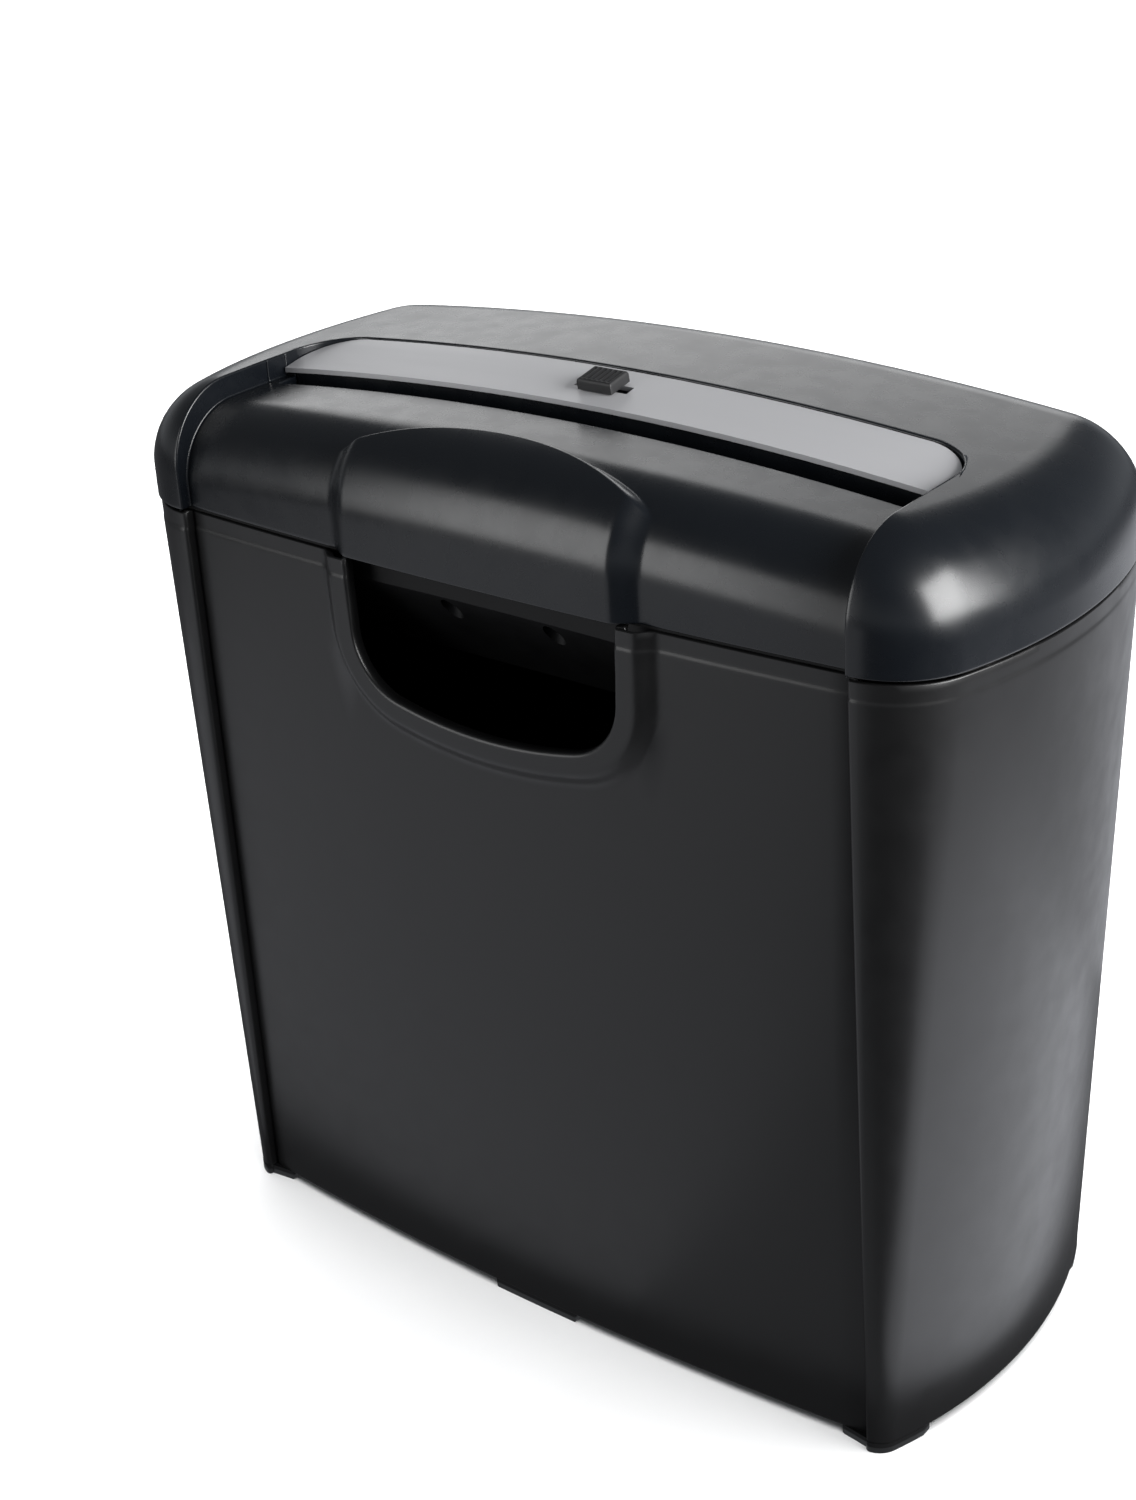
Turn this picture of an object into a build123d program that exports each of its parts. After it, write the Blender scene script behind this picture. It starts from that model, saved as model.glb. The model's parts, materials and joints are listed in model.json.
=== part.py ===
from build123d import *
import os
from math import asin, atan2, cos, floor, hypot, pi, radians, sin, sqrt, tan

# A strip-cut paper shredder: a motor-driven cutter head that rests on a waste basket.
# The origin is on the floor under the middle of the basket. +X is to the right seen from
# the front, the front faces -Y and +Z is up.

# Overall sizes
throat_width = 226.0          # clear width between the cutter block's side plates
rim_height = 248.3            # top of the basket
head_height = 43.2            # rim of the basket to the top of the head

# Waste basket
basket_wall = 2.4
basket_floor = 2.6
foot_height = 3.0
gear_room = 5.6               # outermost gear to the inside of the tub, at the tip of an end
rim_end_corner = 25.4         # round at the corners of an end, seen from above, at the rim
floor_end_corner = 8.0
crease_margin = 4.2           # crease to the throat's end
taper_width = 9.5             # how far each end draws in from rim to floor
taper_depth = 3.5             # how far the front draws in from rim to floor
taper_crease = 3.8            # how far a crease moves out from rim to floor
panel_step = 3.0              # the long panels lie this far behind the rounded ends
rim_panel_bow = 4.0
floor_panel_bow = 6.0
rim_band = 4.6                # rim to the fine line round the basket
rim_line = 0.8
rim_line_depth = 0.5
floor_edge_chamfer = 1.4
foot_inset = 3.0
corner_foot_start = 4.0       # how far inside the crease a corner foot begins
corner_foot_gap = 22.0
centre_foot_half = 16.0
centre_foot_gap = 40.0

# Hand hole
hole_half_width = 47.5
hole_flare = 1.0              # each side leans out this far towards the rim
hole_depth = 44.5             # rim to the lowest point
hole_corner = 20.0
hole_bottom_radius = 147.0
surround_width = 10.0
surround_rise = 3.6

# Head cover
cover_wall = 2.4
cover_gap = 1.0               # dark line between the basket and the cover
cover_overhang = 0.5
loaf_round = 24.0
crown_drop = 6.5              # the top falls this far from the middle to the creases
panel_drop = 7.2              # the front panel lies this far below the head's top
panel_round = 22.0
cover_panel_step = 3.6
recess_corner = 17.0
bulge_half_width = 46.5
bulge_flank = 9.5
bulge_rise = 4.0
bulge_sink = 0.3              # the flanks run this far into the panel
bulge_arch_depth = 19.0       # arched top edge of the bulge, measured from the slot
bulge_arch_fall = 9.0
bulge_arch_slope = 3.0

# Paper slot and plate
slot_gap = 7.0
plate_depth = 21.4
plate_thickness = 1.5
plate_gap = 0.6
plate_sink = 0.4              # the plate's rear edge lies this far below the head's top
plate_slope = 0.18            # fall of the plate towards the slot, per millimetre
slot_wall_depth = 7.0         # front panel's ends to the lower edge of the slot's rear wall
slot_setback = 1.0            # the plate's front edge stands out over that wall

# Lower housing and its screws
housing_depth = 36.3          # rim to the underside of the tub
housing_wall = 2.2
housing_clearance = 2.5       # tub to the inside of the basket
flange_inset = 1.0            # the flange's edge lies this far inside the basket's outline
flange_spigot = 1.6           # how far the flange reaches up inside the cover
spigot_clearance = 0.5
slope_start = 3.0             # rim to the top of the slanting front wall
slope_clearance = 4.2         # front cutter discs to the slanting front wall
exit_reach = 17.5             # slot to the front and rear edges of the strip exit
exit_margin = 2.0
front_screw_x = 18.5
front_screw_y = 8.1           # from the front of the basket
rear_screw_x = 6.8            # from the crease towards the end
rear_screw_y = 19.5           # from the back of the basket
boss_radius = 3.9
screw_radius = 1.5
screw_clearance = 0.05
screw_head_radius = 2.7
screw_head_height = 2.0
screw_grip = 10.0
screw_tip_gap = 0.5
well_roof = 3.0
well_clearance = 0.4
exit_lip = 2.0
exit_lip_height = 7.0

# Cutters
strip_width = 6.5
disc_radius = 15.0
disc_overlap = 3.0
disc_thickness = 6.1
stack_end = 0.3
spacer_gap = 0.5
shaft_flats = 12.0            # across the flats of the six-sided shaft
hex_fit = 0.06
journal_radius = 5.0
cutter_drop = 8.3             # rim to the cutter shafts
front_room = 16.5             # cutter discs to the front of the body
finger_play = 0.4
comb_gap = 1.0
comb_bar = 2.5
comb_half_height = 4.0

# Cutter block frame
side_plate = 2.0
plate_lip = 2.0               # front comb to the front edge of a side plate
plate_rise = 30.0
plate_margin = 3.0            # cutter discs to the lower edge of a side plate
bush_radius = 7.5
bush_length = 3.0             # how far a bush stands out of its side plate
bush_collar = 1.5
tie_radius = 3.5
tie_thread = 2.0
nut_flats = 7.0
nut_height = 3.0
front_tie = (-27.5, 22.0)     # tie rods, from the nip of the cutters
upper_tie = (24.5, 22.0)
lower_tie = (28.5, -20.0)
clip_thickness = 0.8
clip_radius = 7.0
clip_bore = 4.2
clip_play = 0.2
clip_room = 2.0

# Gears
sync_teeth = 18
sync_width = 7.0
drive_teeth = 36
idler_teeth = 12
drive_module = 1.25
drive_width = 6.0
wheel_teeth = 34
pinion_teeth = 10
motor_module = 1.0
wheel_width = 4.0
gear_gap = 0.5
pressure_angle = 20.0
tooth_play = 0.3
tip_height = 0.85             # in modules
root_depth = 1.25             # in modules
axle_radius = 2.5
axle_root = 3.0
axle_shoulder = 4.0
axle_clip_radius = 4.5
axle_clip_bore = 2.0

# Motor
motor_gap = 2.0               # rear comb to the motor
motor_room = 0.9              # motor to the inside of the tub, at the back
motor_offset_z = 6.0          # above the cutter shafts
motor_radius = 20.5
motor_length = 72.0
motor_cap = 4.0
can_wall = 1.5
magnet_thickness = 4.0
rotor_gap = 0.6
motor_boss = 6.0
boss_rise = 1.0
motor_shaft_radius = 2.0
motor_screw_reach = 12.0

# Throat guide and paper sensor
guide_wall = 1.5
guide_gap = 0.8
lever_reach = 4.5
lever_drop = 5.6
lever_half_width = 2.2
ear_gap = 0.4
lever_hub = 3.0
lever_arm = 3.0
lever_pin = 1.2
lever_tip_gap = 1.5
microswitch_length = 20.0
microswitch_depth = 10.0
microswitch_height = 8.0

# Mode switch
mode_y = -6.0
mode_travel = 6.0
mode_stem_half = 3.0
mode_slot_width = 4.0
mode_play = 0.3
mode_body_half = 14.0
mode_body_depth = 14.0
mode_body_height = 8.0
mode_channel = 5.0
mode_grip_half = 6.0
mode_grip_depth = 9.0
mode_grip_height = 3.5
mode_grip_round = 1.2

# Control board
board_inset = 14.0            # from the left side plate
board_setback = 37.5          # from the slot
board_length = 62.0
board_width = 32.0
board_thickness = 1.6
standoff_height = 6.0
standoff_radius = 2.6
standoff_inset = 4.0
board_screw = 1.0
relay_place = 6.0
relay_length = 19.0
relay_width = 15.5
relay_height = 15.0
part_gap = 2.0
capacitor_radius = 6.0
capacitor_height = 20.0
terminal_length = 9.0
terminal_width = 20.0
terminal_height = 10.0
lead_radius = 1.1
lead_run = 0.35               # share of the way that a lead runs level at each end
lead_bend = 40.0
cutout_length = 16.0
cutout_width = 9.0
cutout_height = 5.0

# Cord gland
gland_x = -60.0
gland_height = 9.0            # above the lower edge of the cover
gland_radius = 5.0
gland_bore = 3.6
gland_rise = 3.8
gland_inner = 4.0
gland_flange = 2.0
gland_flange_radius = 6.8

# Fits
running_play = 0.05
running_end = 0.2
press_play = 0.02

os.makedirs("parts", exist_ok=True)


def write(name, shape):
    """One file for each named piece."""
    export_step(shape, f"parts/{name}.step")


def block(x0, x1, y0, y1, z0, z1):
    """A box from its limits."""
    middle = Pos((x0 + x1) / 2, (y0 + y1) / 2, (z0 + z1) / 2)
    return middle * Box(x1 - x0, y1 - y0, z1 - z0)


def rod(x0, x1, y, z, radius):
    """A round bar along X."""
    return Pos((x0 + x1) / 2, y, z) * Rot(0, 90, 0) * Cylinder(radius, x1 - x0)


def post(x, y, z0, z1, radius):
    """A round bar along Z."""
    return Pos(x, y, (z0 + z1) / 2) * Cylinder(radius, z1 - z0)


def bar_y(x, z, y0, y1, radius):
    """A round bar along Y."""
    return Pos(x, (y0 + y1) / 2, z) * Rot(90, 0, 0) * Cylinder(radius, y1 - y0)


# Width, from the throat outwards: side plates, bushes, three gears side by side, tub and basket
throat_half = throat_width / 2
plate_in = throat_half
plate_out = throat_half + side_plate
bush_out = plate_out + bush_length
sync_in = bush_out + gear_gap
sync_out = sync_in + sync_width
drive_in = sync_out + gear_gap
drive_out = drive_in + drive_width
wheel_in = drive_out + gear_gap
wheel_out = wheel_in + wheel_width
tub_inset = basket_wall + housing_clearance
rim_crease = throat_half + crease_margin
rim_half_width = wheel_out + gear_room + housing_wall + tub_inset
end_length = rim_half_width - rim_crease

# Depth, from the front: room in front of the cutters, two cutters, combs, motor, tub and basket
shaft_spacing = 2 * disc_radius - disc_overlap
comb_reach = disc_radius + comb_gap + comb_bar
motor_offset_y = comb_reach + motor_gap + motor_radius
front_depth = front_room + disc_radius
rear_depth = motor_offset_y + motor_radius + motor_room + housing_wall + tub_inset + panel_step
body_depth = front_depth + shaft_spacing + rear_depth
rim_end_front = body_depth / 2
front_shaft_y = front_depth - rim_end_front
rear_shaft_y = front_shaft_y + shaft_spacing
slot_centre = (front_shaft_y + rear_shaft_y) / 2

# Other places that several pieces share
basket_top_height = rim_height - foot_height
head_top = rim_height + head_height
cover_bottom = rim_height + cover_gap
slot_front = slot_centre - slot_gap / 2
slot_rear = slot_centre + slot_gap / 2
cutter_z = rim_height - cutter_drop


def end_bow(half_width, crease, end_front, corner):
    """Radius of an end's gentle bow that runs into corner rounds of the given radius."""
    end = half_width - crease
    return (end**2 + end_front**2 - 2 * end_front * corner) / (2 * (end - corner))


def d_wire(half_width, crease, end_front, step, bow, bow_radius, z):
    """Outline seen from above: two bowed long sides between two rounded ends.

    Each corner round is tangent to the end's bow and starts square at the crease.
    """
    reach = crease - half_width + bow_radius
    corner = (bow_radius**2 - reach**2 - end_front**2) / (2 * (bow_radius - end_front))
    lean = atan2(end_front - corner, reach)
    half_lean = (lean + pi / 2) / 2
    turn = (crease + corner * cos(half_lean), end_front - corner + corner * sin(half_lean))
    meet = (crease + corner * cos(lean), end_front - corner + corner * sin(lean))
    edges = []
    for side in (1, -1):

        def at(x, y):
            return (side * x, -side * y, z)

        if bow > 0:
            edges.append(ThreePointArc(at(-crease, end_front - step),
                                       at(0, end_front - step + bow),
                                       at(crease, end_front - step)))
        else:
            edges.append(Line(at(-crease, end_front - step), at(crease, end_front - step)))
        if step > 0:
            edges.append(Line(at(crease, end_front - step), at(crease, end_front)))
        edges.append(ThreePointArc(at(crease, end_front), at(*turn), at(*meet)))
        edges.append(ThreePointArc(at(*meet), at(half_width, 0), at(meet[0], -meet[1])))
        edges.append(ThreePointArc(at(meet[0], -meet[1]), at(turn[0], -turn[1]), at(crease, -end_front)))
        if step > 0:
            edges.append(Line(at(crease, -end_front), at(crease, step - end_front)))
    return Wire(edges)


def basket_wire(z, inset, stepped):
    """The basket's outline at one height, moved inwards by inset."""
    share = (z - foot_height) / basket_top_height
    half_width = rim_half_width - taper_width * (1 - share)
    crease = rim_crease + taper_crease * (1 - share)
    end_front = rim_end_front - taper_depth * (1 - share)
    bow = floor_panel_bow + (rim_panel_bow - floor_panel_bow) * share
    corner = floor_end_corner + (rim_end_corner - floor_end_corner) * share
    bow_radius = end_bow(half_width, crease, end_front, corner)
    step = panel_step
    if not stepped:
        end_front = end_front - panel_step
        step = 0
    return d_wire(half_width - inset, crease, end_front - inset, step, bow, bow_radius - inset, z)


def prism(wire, height):
    """Straight up from a level outline."""
    return extrude(Face(wire), height, dir=(0, 0, 1))


def hole_wire(grow, y):
    """The hand hole's outline, open past the rim, in an upright plane."""
    bottom = rim_height - hole_depth
    bottom_centre = bottom + hole_bottom_radius
    corner_x = hole_half_width - hole_corner
    spread = sqrt((hole_bottom_radius - hole_corner) ** 2 - corner_x**2)
    corner_z = bottom_centre - spread
    lean = atan2(corner_x, spread)
    corner = hole_corner + grow
    meet_x = corner_x + corner * sin(lean)
    meet_z = corner_z - corner * cos(lean)
    half_lean = (lean + pi / 2) / 2
    turn_x = corner_x + corner * sin(half_lean)
    turn_z = corner_z - corner * cos(half_lean)
    side_x = hole_half_width + grow
    top_x = side_x + hole_flare
    top_z = rim_height + hole_corner
    return Wire([
        Line((-top_x, y, top_z), (-side_x, y, corner_z)),
        ThreePointArc((-side_x, y, corner_z), (-turn_x, y, turn_z), (-meet_x, y, meet_z)),
        ThreePointArc((-meet_x, y, meet_z), (0, y, bottom - grow), (meet_x, y, meet_z)),
        ThreePointArc((meet_x, y, meet_z), (turn_x, y, turn_z), (side_x, y, corner_z)),
        Line((side_x, y, corner_z), (top_x, y, top_z)),
        Line((top_x, y, top_z), (-top_x, y, top_z)),
    ])


# Waste basket
floor_top = foot_height + basket_floor
basket = Solid.make_loft([basket_wire(foot_height, floor_edge_chamfer, True),
                          basket_wire(foot_height + floor_edge_chamfer, 0, True),
                          basket_wire(rim_height, 0, True)], True)
panel_front = rim_end_front - panel_step + rim_panel_bow
surround = Solid.make_loft([hole_wire(surround_width, basket_wall - panel_front + panel_step),
                            hole_wire(0, -panel_front - surround_rise)], True)
surround = surround & block(-rim_half_width, rim_half_width, -body_depth, 0, 0, rim_height)
basket = basket + surround
cavity = Solid.make_loft([basket_wire(floor_top, basket_wall, False),
                          basket_wire(rim_height + basket_wall, basket_wall, False)], True)
basket = basket - cavity
hole_cut = Solid.make_loft([hole_wire(0, -body_depth), hole_wire(0, slot_front - loaf_round)], True)
basket = basket - hole_cut
line_bottom = rim_height - rim_band - rim_line
line_ring = prism(basket_wire(line_bottom, -basket_wall, True), rim_line)
line_ring = line_ring - prism(basket_wire(line_bottom, rim_line_depth, True), rim_line)
line_keep = block(-rim_half_width, rim_half_width, -body_depth, body_depth, 0, rim_height)
line_keep = line_keep - block(-hole_half_width - surround_width, hole_half_width + surround_width,
                              -body_depth, 0, 0, rim_height)
basket = basket - (line_ring & line_keep)
foot_slab = prism(basket_wire(0, foot_inset, False), foot_height + basket_floor / 2)
corner_inner = rim_crease - corner_foot_start
foot_zones = []
for side in (-1, 1):
    for face in (-1, 1):
        foot_zones.append(block(*sorted((side * corner_inner, side * rim_half_width)),
                                *sorted((face * corner_foot_gap, face * body_depth)), 0, floor_top))
for face in (-1, 1):
    foot_zones.append(block(-centre_foot_half, centre_foot_half,
                            *sorted((face * centre_foot_gap, face * body_depth)), 0, floor_top))
for zone in foot_zones:
    basket = basket + (foot_slab & zone)
write("waste_basket", basket)


# Head cover
cover_half_width = rim_half_width + cover_overhang
cover_end_front = rim_end_front + cover_overhang
cover_bow = end_bow(cover_half_width, rim_crease, cover_end_front, rim_end_corner + cover_overhang)
crown_radius = (rim_crease**2 + crown_drop**2) / (2 * crown_drop)


def crowned(solid, top):
    """Cut a solid off at the crowned level whose middle is at top."""
    barrel = Pos(0, 0, top - crown_radius) * Rot(90, 0, 0) * Cylinder(crown_radius, 4 * body_depth)
    return solid & barrel


def sloped(solid, top):
    """Cut a solid off at the plate's crowned level, which is at top in the middle of the head."""
    reach = 2 * body_depth
    rise = plate_slope * reach
    cone = Cone(crown_radius + rise, crown_radius - rise, 2 * reach)
    return solid & (Pos(0, 0, top - crown_radius) * Rot(90, 0, 0) * cone)


def loaf(inset):
    """The whole head before anything is cut from it."""
    wire = d_wire(cover_half_width - inset, rim_crease, cover_end_front - inset, 0, 0,
                  cover_bow - inset, cover_bottom)
    solid = crowned(prism(wire, 2 * head_height), head_top - inset)
    top_face = solid.faces().sort_by(Axis.Z)[-1]
    return fillet(top_face.edges(), loaf_round - inset)


def panel_loaf(front_inset, top_inset):
    """The level of the front panel, wider than the recess that bares it."""
    front = cover_end_front - cover_panel_step - front_inset
    wide = rim_crease + end_length / 2
    bow_radius = (rim_crease**2 + rim_panel_bow**2) / (2 * rim_panel_bow)
    middle = front + rim_panel_bow
    edge = middle - wide**2 / (2 * bow_radius)
    wire = Wire([
        ThreePointArc((-wide, -edge, 0), (0, -middle, 0), (wide, -edge, 0)),
        Line((wide, -edge, 0), (wide, body_depth, 0)),
        Line((wide, body_depth, 0), (-wide, body_depth, 0)),
        Line((-wide, body_depth, 0), (-wide, -edge, 0)),
    ])
    solid = crowned(prism(wire, 2 * head_top), head_top - panel_drop - top_inset)
    front_edge = solid.faces().sort_by(Axis.Z)[-1].edges().sort_by(Axis.Y)[0]
    return fillet(front_edge, panel_round - front_inset)


recess_rear = slot_rear + plate_depth + plate_gap


def recess_prism(grow, front):
    """Upright prism over the front panel and the plate, with round rear corners."""
    side = rim_crease + grow
    rear = recess_rear + grow
    corner = recess_corner + grow
    bend = corner * (1 - cos(pi / 4))
    wire = Wire([
        Line((-side, front, 0), (side, front, 0)),
        Line((side, front, 0), (side, rear - corner, 0)),
        ThreePointArc((side, rear - corner, 0), (side - bend, rear - bend, 0), (side - corner, rear, 0)),
        Line((side - corner, rear, 0), (corner - side, rear, 0)),
        ThreePointArc((corner - side, rear, 0), (bend - side, rear - bend, 0), (-side, rear - corner, 0)),
        Line((-side, rear - corner, 0), (-side, front, 0)),
    ])
    return prism(wire, 2 * head_top)


def bulge_wire(x, rise):
    """Section of the raised middle of the front, across the head."""
    panel_middle = cover_end_front - cover_panel_step + rim_panel_bow
    front = panel_middle - (panel_middle - cover_end_front + cover_panel_step) * (x / rim_crease) ** 2 + rise
    top = head_top - panel_drop - crown_drop * (x / rim_crease) ** 2 + rise
    turn = panel_round + rise
    bend = turn * (1 - cos(pi / 4))
    return Wire([
        Line((x, -front, cover_bottom), (x, -front, top - turn)),
        ThreePointArc((x, -front, top - turn), (x, bend - front, top - bend), (x, turn - front, top)),
        Line((x, turn - front, top), (x, slot_front - slot_gap / 2, top)),
        Line((x, slot_front - slot_gap / 2, top), (x, slot_front - slot_gap / 2, cover_bottom)),
        Line((x, slot_front - slot_gap / 2, cover_bottom), (x, -front, cover_bottom)),
    ])


bulge_foot = bulge_half_width + bulge_flank
bulge = Solid.make_loft([bulge_wire(-bulge_foot, -bulge_sink), bulge_wire(-bulge_half_width, bulge_rise),
                         bulge_wire(bulge_half_width, bulge_rise), bulge_wire(bulge_foot, -bulge_sink)], True)
arch_radius = (bulge_half_width**2 + bulge_arch_fall**2) / (2 * bulge_arch_fall)
arch_height = head_top - cover_bottom + bulge_rise
arch_spread = bulge_arch_slope * arch_height / bulge_rise
arch = Cone(arch_radius + arch_spread, arch_radius, arch_height)
bulge = bulge & (Pos(0, slot_front - bulge_arch_depth - arch_radius, cover_bottom + arch_height / 2) * arch)


plate_top = head_top - plate_sink - plate_slope * recess_rear


def head_form(inset, front_drop, plate_drop):
    """The head with its lower middle: panel in front of the slot, plate seat behind it."""
    middle = recess_prism(inset, -body_depth)
    ends = loaf(inset) - middle
    front_zone = block(-rim_half_width, rim_half_width, -body_depth, slot_rear, cover_bottom, head_top)
    rear_zone = block(-rim_half_width, rim_half_width, slot_rear, body_depth, cover_bottom, 2 * head_top)
    front = panel_loaf(inset, front_drop) & middle & front_zone
    rear = sloped(middle & rear_zone, plate_top - plate_drop)
    return ends + front + rear


cover = head_form(0, 0, plate_thickness) + bulge
cover = cover - head_form(cover_wall, cover_wall, plate_thickness + cover_wall)
slot_wall = slot_rear + slot_setback
cover = cover - block(-throat_half, throat_half, slot_front, slot_wall, cover_bottom, head_top)
slot_wall_bottom = head_top - panel_drop - crown_drop - slot_wall_depth
rear_wall = block(-throat_half, throat_half, slot_wall, slot_wall + cover_wall, slot_wall_bottom, head_top)
cover = cover + sloped(rear_wall, plate_top - plate_thickness)

# Housing screws: wells in the housing, bosses in the cover
flange_top = cover_bottom + flange_spigot
screw_places = []
for side in (-1, 1):
    screw_places.append((side * front_screw_x, front_screw_y - rim_end_front))
    screw_places.append((side * (rim_crease + rear_screw_x), rim_end_front - rear_screw_y))
for x, y in screw_places:
    boss = post(x, y, flange_top, head_top, boss_radius) & loaf(cover_wall / 2)
    if y < slot_front:
        boss = boss & panel_loaf(cover_wall / 2, cover_wall / 2)
    hole = post(x, y, flange_top, flange_top + screw_grip, screw_radius + screw_clearance)
    cover = cover + boss - hole
mode_slot_half = mode_travel + mode_stem_half + mode_play
mode_frame = Pos(0, mode_y, plate_top + plate_slope * mode_y) * Rot(atan2(plate_slope, 1) * 180 / pi, 0, 0)
mode_slot = mode_frame * block(-mode_slot_half, mode_slot_half, -mode_slot_width / 2, mode_slot_width / 2,
                               -2 * cover_wall - plate_thickness, plate_thickness)
gland_z = cover_bottom + gland_height
gland_inside = cover_end_front - cover_wall
cover = cover - mode_slot
cover = cover - bar_y(gland_x, gland_z, slot_centre + body_depth / 2, body_depth, gland_radius + press_play)
write("head_cover", cover)

# Control plate, a sheet that dips from the head's top to the slot
plate = recess_prism(-plate_gap, slot_rear)
plate = sloped(plate, plate_top) - sloped(plate, plate_top - plate_thickness)
plate = plate - mode_slot
write("control_plate", plate)

# Lower housing
housing_bottom = rim_height - housing_depth
housing_floor = housing_bottom + housing_wall


def yz_prism(points, x0, x1):
    """A flat outline in the YZ plane, made into a bar from x0 to x1."""
    line = Polyline(*[(x0, y, z) for y, z in points], close=True)
    return extrude(Face(Wire(line.edges())), x1 - x0, dir=(1, 0, 0))


def under_slope(inset):
    """What is cut away below the slanting front wall."""
    front = -rim_end_front
    run = slope_foot - front
    drop = slope_top - housing_bottom
    slant = hypot(run, drop)
    lift_y = inset * drop / slant
    lift_z = inset * run / slant
    top = (front - run + lift_y, slope_top + drop + lift_z)
    foot = (slope_foot + run + lift_y, housing_bottom - drop + lift_z)
    return yz_prism([top, foot, (top[0], foot[1])], -rim_half_width, rim_half_width)


slope_top = rim_height - slope_start
slope_middle_y = front_shaft_y + rim_end_front
slope_middle_z = cutter_z - slope_top
slope_turn = asin((disc_radius + slope_clearance + housing_wall) / hypot(slope_middle_y, slope_middle_z))
slope_angle = slope_turn - atan2(slope_middle_z, slope_middle_y)
slope_foot = (slope_top - housing_bottom) / tan(slope_angle) - rim_end_front
housing = prism(basket_wire(rim_height, tub_inset, False).moved(Pos(0, 0, -housing_depth)), housing_depth)
housing = housing - under_slope(0)
housing = housing + prism(basket_wire(rim_height, flange_inset, False), cover_gap)
spigot_inset = basket_wall + spigot_clearance
housing = housing + prism(basket_wire(rim_height, spigot_inset, False), cover_gap + flange_spigot)
tub_inside = prism(basket_wire(rim_height, tub_inset + housing_wall, False)
                   .moved(Pos(0, 0, housing_wall - housing_depth)), 2 * housing_depth)
tub_inside = tub_inside - under_slope(housing_wall)
housing = housing - tub_inside
exit_half = throat_half - exit_margin
exit_front = slot_centre - exit_reach
exit_rear = slot_centre + exit_reach
housing = housing - block(-exit_half, exit_half, exit_front, exit_rear, 0, slope_top)
for x, y in screw_places:
    tube = post(x, y, housing_bottom, flange_top, boss_radius)
    tube = tube - under_slope(0) if y < 0 else tube
    well = post(x, y, 0, flange_top - well_roof, screw_head_radius + well_clearance)
    hole = post(x, y, 0, flange_top, screw_radius + screw_clearance)
    housing = housing + tube - well - hole
housing = housing + block(-exit_half, exit_half, exit_rear, exit_rear + exit_lip, housing_bottom,
                          housing_floor + exit_lip_height)
board_x0 = board_inset - throat_half
board_x1 = board_x0 + board_length
board_y0 = slot_centre + board_setback
board_y1 = board_y0 + board_width
board_bottom = housing_floor + standoff_height
standoff_places = [(x, y) for x in (board_x0 + standoff_inset, board_x1 - standoff_inset)
                   for y in (board_y0 + standoff_inset, board_y1 - standoff_inset)]
for x, y in standoff_places:
    housing = housing + post(x, y, housing_bottom, board_bottom, standoff_radius)
    housing = housing - post(x, y, housing_floor, board_bottom, board_screw + screw_clearance)
write("lower_housing", housing)

# Housing screws
screws = []
for x, y in screw_places:
    head = post(x, y, flange_top - well_roof - screw_head_height, flange_top - well_roof, screw_head_radius)
    shank = post(x, y, flange_top - well_roof, flange_top + screw_grip - screw_tip_gap, screw_radius)
    screws.append(head + shank)
write("housing_screws", Compound(children=screws))

# Cutter block: places
motor_y = rear_shaft_y + motor_offset_y
motor_z = cutter_z + motor_offset_z
drive_radius = drive_module * drive_teeth / 2
idler_radius = drive_module * idler_teeth / 2
wheel_radius = motor_module * wheel_teeth / 2
pinion_radius = motor_module * pinion_teeth / 2
drive_spacing = drive_radius + idler_radius
motor_spacing = wheel_radius + pinion_radius
axle_gap = hypot(motor_offset_y, motor_offset_z)
axle_along = (drive_spacing**2 - motor_spacing**2 + axle_gap**2) / (2 * axle_gap)
axle_up = sqrt(drive_spacing**2 - axle_along**2)
axle_y = rear_shaft_y + (axle_along * motor_offset_y - axle_up * motor_offset_z) / axle_gap
axle_z = cutter_z + (axle_along * motor_offset_z + axle_up * motor_offset_y) / axle_gap


def gear(teeth, module, x0, x1, y, z, phase):
    """Spur gear along X with a tooth centred on the angle phase, measured from +Y to +Z."""
    pitch = module * teeth / 2
    base_turn = radians(pressure_angle)
    half_pitch = pi / (2 * teeth) - tooth_play / (2 * pitch)
    points = []
    radii = (pitch - root_depth * module, pitch, pitch + tip_height * module)
    spans = []
    for radius in radii:
        turn = 0
        if radius > pitch * cos(base_turn):
            share = pitch * cos(base_turn) / radius
            turn = atan2(sqrt(1 - share**2), share)
        spans.append(half_pitch + tan(base_turn) - base_turn - tan(turn) + turn)
    for tooth in range(teeth):
        middle = phase + 2 * pi * tooth / teeth
        flank = [(r, middle - s) for r, s in zip(radii, spans)]
        flank += [(r, middle + s) for r, s in zip(reversed(radii), reversed(spans))]
        points += [(y + r * cos(a), z + r * sin(a)) for r, a in flank]
    return yz_prism(points, x0, x1)


def ring(x0, x1, y, z, outer, inner):
    """A washer or sleeve along X."""
    return rod(x0, x1, y, z, outer) - rod(x0, x1, y, z, inner)


def hex_bar(x0, x1, y, z, flats):
    """A six-sided bar along X."""
    corner = flats / sqrt(3)
    points = [(y + corner * cos(k * pi / 3), z + corner * sin(k * pi / 3)) for k in range(6)]
    return yz_prism(points, x0, x1)


# Cutter discs and spacers along each shaft
disc_count = floor((throat_width - 2 * stack_end) / (2 * strip_width))
disc_pitch = 2 * strip_width
first_disc = strip_width * (0.5 - disc_count)
stack_side = throat_half - stack_end


def disc_places(shift):
    """Middle of each disc on one shaft."""
    return [first_disc + shift + disc_pitch * k for k in range(disc_count)]


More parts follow.
